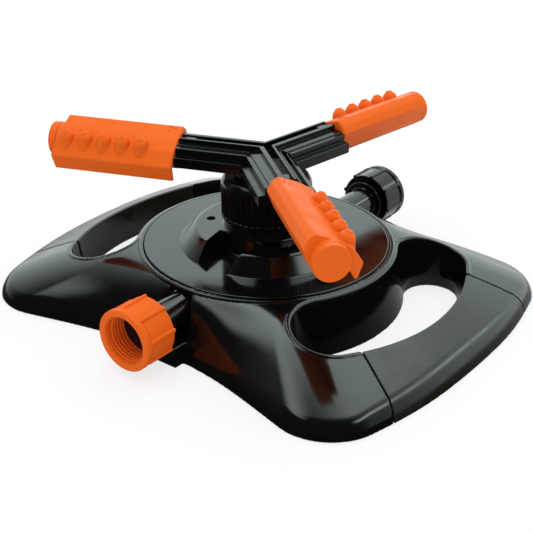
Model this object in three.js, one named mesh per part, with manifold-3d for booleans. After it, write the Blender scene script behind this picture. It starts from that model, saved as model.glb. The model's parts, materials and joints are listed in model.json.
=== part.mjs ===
// A three-arm rotating lawn sprinkler on a low base with two carrying handles.
// Millimetres, +Z up. The origin is on the ground, under the rotor's axis.
// The hose line runs along Y (inlet at -Y, outlet at +Y) and the handles lie at +X and -X.
import * as THREE from 'three';
import { mergeVertices } from 'three/addons/utils/BufferGeometryUtils.js';
import Module from 'manifold-3d';

const wasm = await Module();
wasm.setup();

// ---- driving dimensions -------------------------------------------------
const clearance = 0.3;            // gap between pieces that seat on each other
const overrun = 1;                // how far a cutter runs past what it cuts
const smallSegments = 10;         // facets of a small round
const roundSegments = 18;         // facets of a middling round
const largeSegments = 36;         // facets of a large round

// plan outline of the base, at ground level
const handleHalfSpan = 147;       // axis to the outside of a handle
const hoseSideHalfSpan = 96;      // axis to the waist under the hose line
const cornerCentreX = 104;
const cornerCentreY = 79.3;
const cornerRadius = 33.9;
const cornerStartDeg = 14;        // where the handle side meets the corner round
const cornerEndDeg = 105;         // where the corner round meets the hose side
const outlineEase = 0.4;          // length of the side curves' handles
const sideFacets = 3;
const cornerFacets = 5;

// domed top of the base
const shellWall = 2.8;
const domeTop = 34.3;             // height beside the turret ring
const ridgeHeight = 7;            // mean height of the outer wall
const ridgeRise = 3.4;            // higher than the mean at the handles, lower at the hose
const domePower = 1.45;           // how late the dome starts to fall
const domeSteps = [1, 0.9, 0.72, 0.48, 0.22, 0];   // shares of the way to the outline
const hiddenSteps = [1, 0.7, 0];                    // the same, inside the shell

// ring and drum in the middle of the base
const drumRadius = 77;
const beadWidth = 3;
const beadTop = 35.4;
const recessRadius = 74.7;        // seat of the top cover
const deckTop = 33;
const deckThickness = 2.6;
const riserGap = 1;               // round the riser where it passes the deck
const drumFoot = 2;               // the drum wall ends this far above the ground

// handle openings: kidney slots about the axis, narrower below
const openingHalfAngleDeg = 32.4;
const openingLow = { height: 2.5, fromDrum: 7.7, barWidth: 35.9 };
const openingHigh = { height: 28, fromDrum: 3.8, barWidth: 25 };

// grips on the handle bars
const gripHalfAngleDeg = 27.5;
const gripSeam = 0.6;
const gripInnerReach = 92;
const coreWall = 2.5;

// neck on each hose side
const neckHalfWidth = 16;
const neckReach = 102.6;
const pocketStart = 75.5;
const pocketStartHalf = 6.5;
const pocketFlare = 0.55;         // widening of the pocket per unit outwards

// water tee
const hoseHeight = 22.7;
const pipeRadius = 9.9;
const pipeBore = 7;
const flangeRadius = 13.4;
const flangeThickness = 2.6;
const outletThreadRadius = 13.2;
const outletCollarRadius = 13.8;
const riserRadius = 16;
const riserCollarRadius = 20;
const riserCollarBottom = 49;
const riserTop = 60;
const riserBore = 8;

// hose coupling and outlet cap
const couplingGap = 0.4;          // from the neck's end to the coupling's back
const capStandOff = 6.9;          // from the neck's end to the cap's back
const couplingLength = 23;
const capLength = 20.5;
const couplingRadius = 18.7;
const couplingFlat = 16.6;        // axis to the middle of a flat
const couplingRingRadius = 18.3;
const couplingRingLength = 4.4;
const couplingBore = 14.6;
const couplingRibs = 8;
const couplingRibWidth = 2.6;
const couplingBackWall = 3;
const washerThickness = 2;

// top cover with its turret
const coverTop = 35.75;
const turretFootRadius = 52.3;
const turretTopRadius = 43.4;
const turretTop = 46;
const turretEdge = 1.2;
const coverWall = 2.4;
const collarFootRadius = 29;
const collarTopRadius = 25.5;
const collarTop = 55.2;
const slotHalfWidth = 11.5;
const slotEnd = 31.5;
const screwCircleRadius = 34.8;
const screwAngleDeg = 25;
const screwHoleRadius = 2.6;
const screwBossRadius = 4.8;
const screwPad = 3;               // material left under a cover screw's head
const screwHeadRadius = 2.2;
const screwHeadHeight = 1.8;
const screwShankRadius = 1.4;
const screwShankLength = 9;

// retaining nut
const nutRadius = 27.4;
const nutRootRadius = 26.6;
const nutTopRadius = 24.6;
const nutTop = 77.6;
const nutFluteBottom = 57;
const nutFluteTop = 71.5;
const nutFlutes = 56;
const nutBottomChamfer = 1.6;

// rotor
const armAngleDeg = 201.76;       // the first arm's direction at rest
const armCount = 3;
const armLength = 52.9;
const rotorGap = 0.6;             // between the nut and the hub
const hubHeight = 4.4;
const plateHalf = 17;             // half width and height of each layer of an arm
const plateThickness = 6.9;
const shoulderHalf = 12.5;
const shoulderRise = 4.3;
const railHalf = 8.4;
const railRise = 1.2;
const lipHalf = 4.2;
const lipRise = 2.2;
const channelHalf = 2.8;          // channel between the lips, as deep as the rails
const tubeRise = 4.4;             // from an arm's underside to the water tube's axis
const armBore = 3.4;
const spigotRadius = 7.8;
const spigotLength = 66.1;
const hubRadius = 24;
const spindleRadius = 12;
const spindleBore = 5;
const spindleFlangeRadius = 18;
const spindleFlangeThickness = 3.2;
const sealThickness = 1.6;
const thrustThickness = 1.3;
const spindleTenonRadius = 9;
const spindleTenonHeight = 5;
const pointerLength = 8;
const pointerHalfWidth = 1.6;
const pointerRise = 1.4;
const ringGroove = 1;             // depth of the seal ring's groove
const grooveHalf = 1.4;
const ringHalf = 0.4;             // half thickness of the seal ring
const ringInset = 12;

// spray sleeves and their end caps
const sleeveGap = 0.5;            // from the arm's end to the sleeve
const sleeveLengthTop = 75;       // length at the top, at the wing and at its foot
const sleeveLengthWing = 77.8;
const sleeveLengthFoot = 76.4;
const sleeveTubeRadius = 10.4;
const sleeveTopLeft = [-7, 13.4];
const sleeveTopRight = [4, 9.3];
const sleeveShoulder = [12.5, 4.2];
const sleeveWingTop = [18, -4];
const sleeveWingBottom = [15.4, -13.4];
const sleeveSide = [-13.3, 6.2];
const wingThickness = 2;
const bumpRadius = 4.7;
const bumpCentre = [10.1, 6.8];
const bumpInset = 21.4;           // from the sleeve's start to the first bump
const bumpPitch = 12;
const bumpCount = 5;
const capRadius = 9.8;
const capThickness = 5.1;
const capPlugLength = 8;

// clamp under the tee
const clampHalfLength = 27.5;
const clampHalfWidth = 9;
const clampBottom = 3;
const clampTop = 18;
const footRadius = 10;
const clampScrewX = 22.5;
const clampBossRadius = 4.6;
const clampReliefRadius = 3.6;
const clampPad = 4;               // material left over a clamp screw's head
const ribThickness = 2.4;
const ribAngles = [50, 68];
const ribReach = 175;
const ribBottom = 3;
const deckRibAngle = 45;
const deckRibGap = 8;             // from the riser's collar to a rib under the deck
const clampRibGap = 3;

const degrees = Math.PI / 180;
const openingFacets = 6;          // facets of each arc of a hand opening
const drumWall = drumRadius - recessRadius;
const deckBottom = deckTop - deckThickness;
const inletFace = neckReach + couplingGap + couplingLength;
const outletFace = neckReach + capStandOff + capLength;
const coverRadius = recessRadius - clearance;
const spindleFlangeBottom = riserTop + sealThickness + clearance * 2;
const spindleFlangeTop = spindleFlangeBottom + spindleFlangeThickness;
const nutBottom = collarTop + clearance;
const nutLip = spindleFlangeTop + thrustThickness + clearance * 2;
const hubBottom = nutTop + rotorGap;
const armBottom = hubBottom + hubHeight;
const plateTop = armBottom + plateThickness;
const shoulderTop = plateTop + shoulderRise;
const railTop = shoulderTop + railRise;
const lipTop = railTop + lipRise;
const tubeHeight = armBottom + tubeRise;
const spigotEnd = armLength + spigotLength;
const sleeveStart = armLength + sleeveGap;
const sleeveEndTop = sleeveStart + sleeveLengthTop;
const sleeveEndWing = sleeveStart + sleeveLengthWing;
const sleeveEndFoot = sleeveStart + sleeveLengthFoot;
const bumpFirst = sleeveStart + bumpInset;
const capFront = sleeveEndWing + clearance;
const capEnd = capFront + capThickness;
const bigHeight = 120;

// ---- solids from geometries ---------------------------------------------
function toSolid(geometry) {
  const plain = geometry.clone();
  plain.deleteAttribute('normal');
  plain.deleteAttribute('uv');
  const merged = mergeVertices(plain, 1e-4);
  const points = merged.attributes.position.array;
  const triangles = Uint32Array.from(merged.index.array);
  let volume = 0;
  for (let i = 0; i < triangles.length; i += 3) {
    const [a, b, c] = [0, 1, 2].map((k) => {
      return new THREE.Vector3().fromArray(points, triangles[i + k] * 3);
    });
    volume += a.dot(b.cross(c));
  }
  if (volume < 0) {
    for (let i = 0; i < triangles.length; i += 3) {
      [triangles[i + 1], triangles[i + 2]] = [triangles[i + 2], triangles[i + 1]];
    }
  }
  return new wasm.Manifold(new wasm.Mesh({
    numProp: 3,
    vertProperties: Float32Array.from(points),
    triVerts: triangles,
  }));
}

function toGeometry(solid) {
  const mesh = solid.getMesh();
  const geometry = new THREE.BufferGeometry();
  const points = Float32Array.from(mesh.vertProperties);
  geometry.setAttribute('position', new THREE.BufferAttribute(points, 3));
  geometry.setIndex(new THREE.BufferAttribute(Uint32Array.from(mesh.triVerts), 1));
  geometry.computeVertexNormals();
  return geometry;
}

function joined(solids) {
  return solids.reduce((total, solid) => total.add(solid));
}

function latheSolid(profile, segments = roundSegments) {
  const points = profile.map(([r, z]) => new THREE.Vector2(r, z));
  points.push(points[0].clone());
  const geometry = new THREE.LatheGeometry(points, segments);
  geometry.rotateX(Math.PI / 2);
  return toSolid(geometry);
}

// a revolved profile whose axis runs along Y instead of Z
function latheAlongY(profile, segments = roundSegments) {
  const points = profile.map(([r, y]) => new THREE.Vector2(r, y));
  points.push(points[0].clone());
  const geometry = new THREE.LatheGeometry(points, segments);
  geometry.translate(0, 0, hoseHeight);
  return toSolid(geometry);
}

function cylinder(radius, low, high, x = 0, y = 0, segments = roundSegments) {
  const geometry = new THREE.CylinderGeometry(radius, radius, high - low, segments);
  geometry.rotateX(Math.PI / 2);
  geometry.translate(x, y, (low + high) / 2);
  return toSolid(geometry);
}

function cylinderAlongY(radius, from, to, segments = roundSegments) {
  const geometry = new THREE.CylinderGeometry(radius, radius, to - from, segments);
  geometry.translate(0, (from + to) / 2, hoseHeight);
  return toSolid(geometry);
}

// a cylinder along +X at the height of the arm tubes
function cylinderAlongArm(radius, from, to, segments = roundSegments) {
  const geometry = new THREE.CylinderGeometry(radius, radius, to - from, segments);
  geometry.rotateZ(-Math.PI / 2);
  geometry.translate((from + to) / 2, 0, tubeHeight);
  return toSolid(geometry);
}

function box(x0, x1, y0, y1, z0, z1) {
  const geometry = new THREE.BoxGeometry(x1 - x0, y1 - y0, z1 - z0);
  geometry.translate((x0 + x1) / 2, (y0 + y1) / 2, (z0 + z1) / 2);
  return toSolid(geometry);
}

// a closed skin over rows of equal count, each a closed loop of [x, y, z]
function loft(rows) {
  const count = rows[0].length;
  const last = (rows.length - 1) * count;
  const triangles = [];
  for (let row = 0; row + 1 < rows.length; row++) {
    for (let i = 0; i < count; i++) {
      const a = row * count + i;
      const b = row * count + (i + 1) % count;
      triangles.push(a, b, b + count, a, b + count, a + count);
    }
  }
  const flat = (row) => row.map(([x, y]) => new THREE.Vector2(x, y));
  for (const [a, b, c] of THREE.ShapeUtils.triangulateShape(flat(rows[0]), [])) {
    triangles.push(c, b, a);
  }
  for (const [a, b, c] of THREE.ShapeUtils.triangulateShape(flat(rows[rows.length - 1]), [])) {
    triangles.push(last + a, last + b, last + c);
  }
  const geometry = new THREE.BufferGeometry();
  geometry.setAttribute('position', new THREE.Float32BufferAttribute(rows.flat(2), 3));
  geometry.setIndex(triangles);
  return toSolid(geometry);
}

function prism(shape, low, high, curveSegments = 12) {
  const geometry = new THREE.ExtrudeGeometry(shape, {
    depth: high - low,
    bevelEnabled: false,
    curveSegments,
  });
  geometry.translate(0, 0, low);
  return toSolid(geometry);
}

function polygon(points) {
  return new THREE.Shape(points.map(([x, y]) => new THREE.Vector2(x, y)));
}

// a thin upright wall from one radius to another
function radialRib(angleDeg, from, to, low, high) {
  const rib = box(from, to, -ribThickness / 2, ribThickness / 2, low, high);
  return rib.rotate([0, 0, angleDeg]);
}

// ---- base ----------------------------------------------------------------
// height of the domed top on a ray from the axis, a share of the way to the outline
function domeHeight(angle, share) {
  const ridge = ridgeHeight + ridgeRise * Math.cos(2 * angle);
  return ridge + (domeTop - ridge) * (1 - Math.pow(share, domePower));
}

// a quarter of the ground outline: handle side, corner round, hose side
function quarterOutline() {
  const start = cornerStartDeg * degrees;
  const end = cornerEndDeg * degrees;
  const corner = new THREE.EllipseCurve(
    cornerCentreX, cornerCentreY, cornerRadius, cornerRadius, start, end);
  const first = corner.getPoint(0);
  const last = corner.getPoint(1);
  const handleEnd = new THREE.Vector2(handleHalfSpan, 0);
  const hoseEnd = new THREE.Vector2(0, hoseSideHalfSpan);
  const handleEase = handleEnd.distanceTo(first) * outlineEase;
  const hoseEase = hoseEnd.distanceTo(last) * outlineEase;
  const handleSide = new THREE.CubicBezierCurve(
    handleEnd,
    new THREE.Vector2(handleHalfSpan, handleEase),
    new THREE.Vector2(first.x + Math.sin(start) * handleEase, first.y - Math.cos(start) * handleEase),
    first);
  const hoseSide = new THREE.CubicBezierCurve(
    last,
    new THREE.Vector2(last.x - Math.sin(end) * hoseEase, last.y + Math.cos(end) * hoseEase),
    new THREE.Vector2(hoseEase, hoseSideHalfSpan),
    hoseEnd);
  const samples = [];
  for (const [curve, steps] of [[handleSide, sideFacets], [corner, cornerFacets], [hoseSide, sideFacets]]) {
    for (let i = 0; i < steps; i++) {
      const point = curve.getPoint(i / steps);
      const tangent = curve.getTangent(i / steps);
      samples.push({ x: point.x, y: point.y, nx: tangent.y, ny: -tangent.x });
    }
  }
  samples.push({ x: 0, y: hoseSideHalfSpan, nx: 0, ny: 1 });
  return samples;
}

function fullOutline() {
  const quarter = quarterOutline();
  const mirrored = (sx, sy) => quarter.map((p) => {
    return { x: p.x * sx, y: p.y * sy, nx: p.nx * sx, ny: p.ny * sy };
  });
  const parts = [
    quarter.slice(0, -1),
    mirrored(-1, 1).reverse().slice(0, -1),
    mirrored(-1, -1).slice(0, -1),
    mirrored(1, -1).reverse().slice(0, -1),
  ];
  return parts.flat();
}

// the domed body, drawn in on every side by an inset, down to a flat bottom
function domedSolid(inset, bottom, hidden = false) {
  const rim = fullOutline().map((p) => [p.x - p.nx * inset, p.y - p.ny * inset]);
  const rows = [rim.map(([x, y]) => [x, y, bottom])];
  for (const share of hidden ? hiddenSteps : domeSteps) {
    rows.push(rim.map(([x, y]) => {
      const radius = Math.hypot(x, y);
      const scale = THREE.MathUtils.lerp(drumRadius / radius, 1, share);
      return [x * scale, y * scale, domeHeight(Math.atan2(y, x), share) - inset];
    }));
  }
  return loft(rows);
}

// plan of the +X hand opening at one height, grown outwards on every side
function openingRow(height, grow) {
  const t = (height - openingLow.height) / (openingHigh.height - openingLow.height);
  const inner = drumRadius + THREE.MathUtils.lerp(openingLow.fromDrum, openingHigh.fromDrum, t);
  const outer = handleHalfSpan - THREE.MathUtils.lerp(openingLow.barWidth, openingHigh.barWidth, t);
  const middle = (inner + outer) / 2;
  const half = (outer - inner) / 2 + grow;
  const end = openingHalfAngleDeg * degrees;
  const endX = middle * Math.cos(end);
  const endY = middle * Math.sin(end);
  const arcs = [
    { x: 0, y: 0, radius: middle + half, from: -end, to: end },
    { x: endX, y: endY, radius: half, from: end, to: end + Math.PI },
    { x: 0, y: 0, radius: middle - half, from: end, to: -end },
    { x: endX, y: -endY, radius: half, from: Math.PI - end, to: 2 * Math.PI - end },
  ];
  const points = [];
  for (const arc of arcs) {
    for (let i = 0; i < openingFacets; i++) {
      const angle = THREE.MathUtils.lerp(arc.from, arc.to, i / openingFacets);
      points.push([arc.x + arc.radius * Math.cos(angle), arc.y + arc.radius * Math.sin(angle), height]);
    }
  }
  return points;
}

function openingCutter(grow) {
  return loft([openingRow(-overrun, grow), openingRow(domeTop + overrun, grow)]);
}

function bothSides(solid) {
  return solid.add(solid.rotate([0, 0, 180]));
}

// wedge over one handle bar, from the axis outwards
function gripSector(seam) {
  const far = handleHalfSpan * 2;
  const half = gripHalfAngleDeg * degrees;
  const shift = seam / Math.sin(half);
  const wedge = prism(polygon([
    [shift, 0],
    [far, -(far - shift) * Math.tan(half)],
    [far, (far - shift) * Math.tan(half)],
  ]), -bigHeight, bigHeight);
  return wedge.intersect(box(gripInnerReach, far, -far, far, -bigHeight, bigHeight));
}

function pocketPrism(grow) {
  const far = neckReach + overrun;
  const near = pocketStart - grow;
  const nearHalf = pocketStartHalf + grow;
  const farHalf = nearHalf + pocketFlare * (far - near);
  const floor = hoseHeight - pipeRadius - clearance - grow;
  return prism(polygon([
    [-nearHalf, near],
    [nearHalf, near],
    [farHalf, far],
    [-farHalf, far],
  ]), floor, bigHeight);
}

function screwPlaces() {
  return [1, -1].flatMap((sx) => [1, -1].map((sy) => {
    const angle = screwAngleDeg * degrees;
    return [sx * screwCircleRadius * Math.cos(angle), sy * screwCircleRadius * Math.sin(angle)];
  }));
}

function baseCavity() {
  const deck = cylinder(drumRadius, deckBottom, bigHeight);
  const drum = cylinder(drumRadius, drumFoot, bigHeight).subtract(
    cylinder(drumRadius - drumWall, -bigHeight, bigHeight));
  const ribs = [];
  for (const side of [0, 180]) {
    for (const mirror of [1, -1]) {
      for (const angle of ribAngles) {
        ribs.push(radialRib(side + mirror * angle, recessRadius, ribReach, ribBottom, bigHeight));
      }
      ribs.push(radialRib(
        side + mirror * deckRibAngle, riserCollarRadius + deckRibGap, recessRadius, clampTop, bigHeight));
    }
    ribs.push(radialRib(side, clampHalfLength + clampRibGap, recessRadius, clampTop, bigHeight));
  }
  const kept = joined([
    deck,
    drum,
    bothSides(openingCutter(shellWall)),
    bothSides(pocketPrism(shellWall)),
    ...ribs,
  ]);
  return domedSolid(shellWall, -overrun, true).subtract(kept);
}

function neckBlock() {
  const floor = hoseHeight - pipeRadius - clearance;
  const block = box(-neckHalfWidth, neckHalfWidth, pocketStart, neckReach, 0, floor);
  const hollow = box(
    -neckHalfWidth + shellWall, neckHalfWidth - shellWall,
    pocketStart, neckReach - shellWall, -overrun, floor - shellWall);
  return block.subtract(hollow);
}

function beadRing() {
  const outer = recessRadius + beadWidth + 0.3;
  return latheSolid([
    [recessRadius, deckTop],
    [outer, deckTop],
    [outer, beadTop - 1.2],
    [(recessRadius + outer) / 2, beadTop],
    [recessRadius, beadTop - 1],
  ], largeSegments);
}

function baseBody() {
  const sector = bothSides(gripSector(0));
  const bossTop = deckBottom + overrun;
  const clampBosses = [1, -1].map((side) => {
    const x = side * clampScrewX;
    return cylinder(clampBossRadius, clampTop + clearance, bossTop, x, 0, smallSegments).subtract(
      cylinder(screwShankRadius + clearance, 0, bossTop - 2, x, 0, smallSegments));
  });
  const outer = domedSolid(0, 0);
  const shell = outer
    .subtract(sector)
    .add(bothSides(neckBlock()))
    .subtract(baseCavity());
  const coreInset = shellWall + clearance;
  const joggle = domedSolid(shellWall / 2, 0, true)
    .intersect(bothSides(gripSector(-coreWall)))
    .subtract(sector);
  const core = domedSolid(coreInset, 0, true)
    .subtract(bothSides(openingCutter(coreInset)))
    .intersect(bothSides(gripSector(-coreWall / 2)))
    .add(joggle)
    .subtract(domedSolid(coreInset + coreWall, -overrun, true)
      .subtract(bothSides(openingCutter(coreInset + coreWall))));
  const recess = cylinder(recessRadius, deckTop, bigHeight, 0, 0, largeSegments);
  const holes = screwPlaces().map(([x, y]) => {
    return cylinder(screwShankRadius + clearance, 0, bigHeight, x, y, smallSegments);
  });
  return shell
    .add(core)
    .subtract(bothSides(openingCutter(0)))
    .subtract(bothSides(pocketPrism(0)))
    .subtract(recess)
    .add(beadRing())
    .add(joined(clampBosses))
    .subtract(cylinder(riserRadius + riserGap, deckBottom - overrun, bigHeight))
    .subtract(cylinderAlongY(pipeRadius + clearance, -neckReach - overrun, neckReach + overrun))
    .subtract(joined(holes));
}

function gripCover() {
  const inside = domedSolid(shellWall, -overrun, true).subtract(openingCutter(shellWall));
  return domedSolid(0, 0)
    .intersect(gripSector(gripSeam))
    .subtract(openingCutter(0))
    .subtract(inside);
}

// ---- top cover -------------------------------------------------------------
function topCover() {
  const bottom = deckTop + clearance;
  const bore = riserCollarRadius + clearance * 2;
  const lean = (turretFootRadius - turretTopRadius) / (turretTop - coverTop);
  const outside = [
    [coverRadius - 0.5, coverTop],
    [turretFootRadius + 0.8, coverTop],
    [turretFootRadius - lean * 0.8, coverTop + 0.8],
    [turretTopRadius + turretEdge * 0.5, turretTop - turretEdge],
    [turretTopRadius - turretEdge * 0.4, turretTop - turretEdge * 0.25],
    [turretTopRadius - turretEdge * 1.6, turretTop],
    [collarFootRadius + 1.5, turretTop],
    [collarFootRadius - 1, turretTop + 1.5],
    [collarTopRadius, collarTop],
    [bore, collarTop],
  ];
  const skin = latheSolid([
    [coverRadius, bottom],
    [coverRadius, coverTop - 0.5],
    ...outside,
    [bore, turretTop - coverWall],
    [turretTopRadius - coverWall, turretTop - coverWall],
    [turretFootRadius - coverWall, bottom],
  ], largeSegments);
  const turret = latheSolid([
    [0, bottom],
    [coverRadius, bottom],
    [coverRadius, coverTop - 0.5],
    ...outside,
    [0, collarTop],
  ], largeSegments);
  const lining = box(
    -slotHalfWidth - coverWall, slotHalfWidth + coverWall,
    slotEnd - coverWall, turretFootRadius, bottom, turretTop).intersect(turret);
  const slot = box(
    -slotHalfWidth, slotHalfWidth, slotEnd, coverRadius, coverTop, bigHeight);
  const bosses = screwPlaces().map(([x, y]) => {
    return cylinder(screwBossRadius, bottom, turretTop - 1, x, y, smallSegments);
  });
  const wells = screwPlaces().map(([x, y]) => {
    return cylinder(screwHoleRadius, bottom + screwPad, bigHeight, x, y, smallSegments).add(
      cylinder(screwShankRadius + clearance, 0, bigHeight, x, y, smallSegments));
  });
  return skin
    .add(bothSides(lining))
    .add(joined(bosses))
    .subtract(bothSides(slot))
    .subtract(joined(wells));
}

function coverScrew() {
  const seat = deckTop + clearance + screwPad + clearance;
  const low = seat - screwShankLength;
  return latheSolid([
    [0, low],
    [screwShankRadius * 0.6, low],
    [screwShankRadius, low + 1],
    [screwShankRadius, seat],
    [screwHeadRadius, seat],
    [screwHeadRadius, seat + screwHeadHeight * 0.5],
    [screwHeadRadius * 0.7, seat + screwHeadHeight],
    [0, seat + screwHeadHeight],
  ], smallSegments);
}

// ---- water tee ---------------------------------------------------------------
function waterTee() {
  const flangeFront = inletFace - couplingLength + couplingBackWall + clearance + flangeThickness;
  const flangeBack = flangeFront - flangeThickness;
  const capBack = outletFace - capLength;
  const threadEnd = outletFace - couplingBackWall - washerThickness - clearance * 2;
  const run = latheAlongY([
    [pipeBore, -flangeFront],
    [flangeRadius, -flangeFront],
    [flangeRadius, -flangeBack],
    [pipeRadius, -flangeBack],
    [pipeRadius, capBack - 4],
    [outletCollarRadius - 0.8, capBack - 3],
    [outletCollarRadius, capBack - 2],
    [outletCollarRadius, capBack - clearance],
    [outletThreadRadius - 1, capBack - clearance],
    [outletThreadRadius - 1, capBack + 1],
    [outletThreadRadius, capBack + 2],
    [outletThreadRadius, threadEnd],
    [pipeBore, threadEnd],
  ]);
  const riser = latheSolid([
    [0, hoseHeight],
    [riserRadius, hoseHeight],
    [riserRadius, riserCollarBottom - 4],
    [riserCollarRadius, riserCollarBottom],
    [riserCollarRadius, riserTop],
    [0, riserTop],
  ]);
  return run
    .add(riser)
    .subtract(cylinder(riserBore, hoseHeight, bigHeight))
    .subtract(cylinderAlongY(pipeBore, -riserRadius - overrun, riserRadius + overrun));
}

function teeClamp() {
  const block = box(
    -clampHalfLength, clampHalfLength, -clampHalfWidth, clampHalfWidth, clampBottom, clampTop);
  const foot = cylinder(footRadius, 0, clampBottom + overrun);
  const relief = [1, -1].map((side) => {
    const x = side * clampScrewX;
    return cylinder(clampReliefRadius, -overrun, clampTop - clampPad, x, 0, smallSegments).add(
      cylinder(screwShankRadius + clearance, -overrun, bigHeight, x, 0, smallSegments));
  });
  return block
    .add(foot)
    .subtract(cylinderAlongY(pipeRadius + clearance, -clampHalfWidth - overrun, clampHalfWidth + overrun))
    .subtract(cylinder(riserRadius + clearance, hoseHeight - clearance, bigHeight))
    .subtract(joined(relief));
}

function clampScrew() {
  const seat = clampTop - clampPad - clearance;
  return latheSolid([
    [0, seat - screwHeadHeight],
    [screwHeadRadius, seat - screwHeadHeight],
    [screwHeadRadius + 0.6, seat],
    [screwShankRadius, seat],
    [screwShankRadius, seat + screwShankLength],
    [0, seat + screwShankLength + 1],
  ], smallSegments);
}

// ---- hose coupling and outlet cap ------------------------------------------------
// outline with flats between raised ribs, in a plane across the hose line
function ribbedOutline() {
  const points = [];
  const halfRib = couplingRibWidth / 2;
  for (let i = 0; i < couplingRibs; i++) {
    const angle = (i + 0.5) * 2 * Math.PI / couplingRibs;
    const corner = couplingFlat / Math.cos(Math.PI / couplingRibs);
    for (const [along, out] of [
      [-halfRib - 0.6, corner - (halfRib + 0.6) * Math.tan(Math.PI / couplingRibs)],
      [-halfRib, couplingRadius - 0.3],
      [halfRib, couplingRadius - 0.3],
      [halfRib + 0.6, corner - (halfRib + 0.6) * Math.tan(Math.PI / couplingRibs)],
    ]) {
      points.push([
        out * Math.cos(angle) - along * Math.sin(angle),
        out * Math.sin(angle) + along * Math.cos(angle),
      ]);
    }
  }
  return polygon(points);
}

// the ribbed barrel from y = 0 to y = length, ring at the far end
function ribbedBarrel(length) {
  const body = prism(ribbedOutline(), 0, length - couplingRingLength + 0.5);
  const ring = latheSolid([
    [0, length - couplingRingLength],
    [couplingRingRadius, length - couplingRingLength],
    [couplingRingRadius, length - 0.8],
    [couplingRingRadius - 0.8, length],
    [0, length],
  ]);
  return body.add(ring);
}

// the barrels are modelled along Z from the back wall and turned onto the hose line
function ontoHoseLine(solid, back, direction) {
  return solid.rotate([-90 * direction, 0, 0]).translate([0, direction * back, hoseHeight]);
}

function inletCoupling() {
  const barrel = ribbedBarrel(couplingLength)
    .subtract(cylinder(couplingBore, couplingBackWall, bigHeight))
    .subtract(cylinder(pipeRadius + clearance * 1.5, -overrun, bigHeight));
  return ontoHoseLine(barrel, inletFace - couplingLength, -1);
}

function outletCap() {
  const barrel = ribbedBarrel(capLength)
    .subtract(cylinder(outletThreadRadius + clearance, -overrun, capLength - couplingBackWall));
  return ontoHoseLine(barrel, outletFace - capLength, 1);
}

function ringAlongY(inner, outer, from, to) {
  return latheAlongY([[inner, from], [outer, from], [outer, to], [inner, to]]);
}

function inletWasher() {
  const back = inletFace - couplingLength + couplingBackWall + flangeThickness + clearance * 2;
  return ringAlongY(pipeBore, couplingBore - clearance, -back - washerThickness, -back);
}

function outletWasher() {
  const front = outletFace - couplingBackWall - clearance;
  return ringAlongY(pipeBore, outletThreadRadius, front - washerThickness, front);
}

// ---- retaining nut and bearing washers ----------------------------------------------
function retainingNut() {
  const points = [];
  for (let i = 0; i < nutFlutes; i++) {
    const angle = i * 2 * Math.PI / nutFlutes;
    const quarter = Math.PI / (2 * nutFlutes);
    for (const [turn, radius] of [[0, nutRadius], [quarter * 2.4, nutRootRadius]]) {
      points.push([radius * Math.cos(angle + turn), radius * Math.sin(angle + turn)]);
    }
  }
  const flutes = prism(polygon(points), nutFluteBottom, nutFluteTop);
  const core = latheSolid([
    [0, nutBottom],
    [nutRootRadius - nutBottomChamfer, nutBottom],
    [nutRootRadius, nutFluteBottom],
    [nutRootRadius, nutFluteTop - 0.5],
    [nutRadius, nutFluteTop - 0.5],
    [nutRadius - 0.4, nutTop - 2.6],
    [(nutRadius + nutTopRadius) / 2, nutTop - 0.9],
    [nutTopRadius, nutTop],
    [0, nutTop],
  ], nutFlutes / 2);
  return core
    .add(flutes)
    .subtract(cylinder(riserCollarRadius + clearance, 0, nutLip))
    .subtract(cylinder(spindleRadius + clearance, 0, bigHeight));
}

function flatRing(inner, outer, low, high) {
  return latheSolid([[inner, low], [outer, low], [outer, high], [inner, high]]);
}

function spindleSeal() {
  return flatRing(riserBore, spindleFlangeRadius, riserTop + clearance, spindleFlangeBottom - clearance);
}

function thrustWasher() {
  return flatRing(
    spindleRadius + clearance, spindleFlangeRadius,
    spindleFlangeTop + clearance, nutLip - clearance);
}

// ---- rotor ----------------------------------------------------------------------------
// plan of a Y: three arms of one half width, meeting in square mitres at the hub
function armPlan(half, length) {
  const points = [];
  for (let i = 0; i < armCount; i++) {
    const angle = i * 2 * Math.PI / armCount;
    const between = angle + Math.PI / armCount;
    const valley = half / Math.sin(Math.PI / armCount);
    const [c, s] = [Math.cos(angle), Math.sin(angle)];
    points.push([length * c + half * s, length * s - half * c]);
    points.push([length * c - half * s, length * s + half * c]);
    points.push([valley * Math.cos(between), valley * Math.sin(between)]);
  }
  return polygon(points);
}

function onEachArm(solid) {
  const copies = [];
  for (let i = 0; i < armCount; i++) {
    copies.push(solid.rotate([0, 0, i * 360 / armCount]));
  }
  return joined(copies);
}

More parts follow.
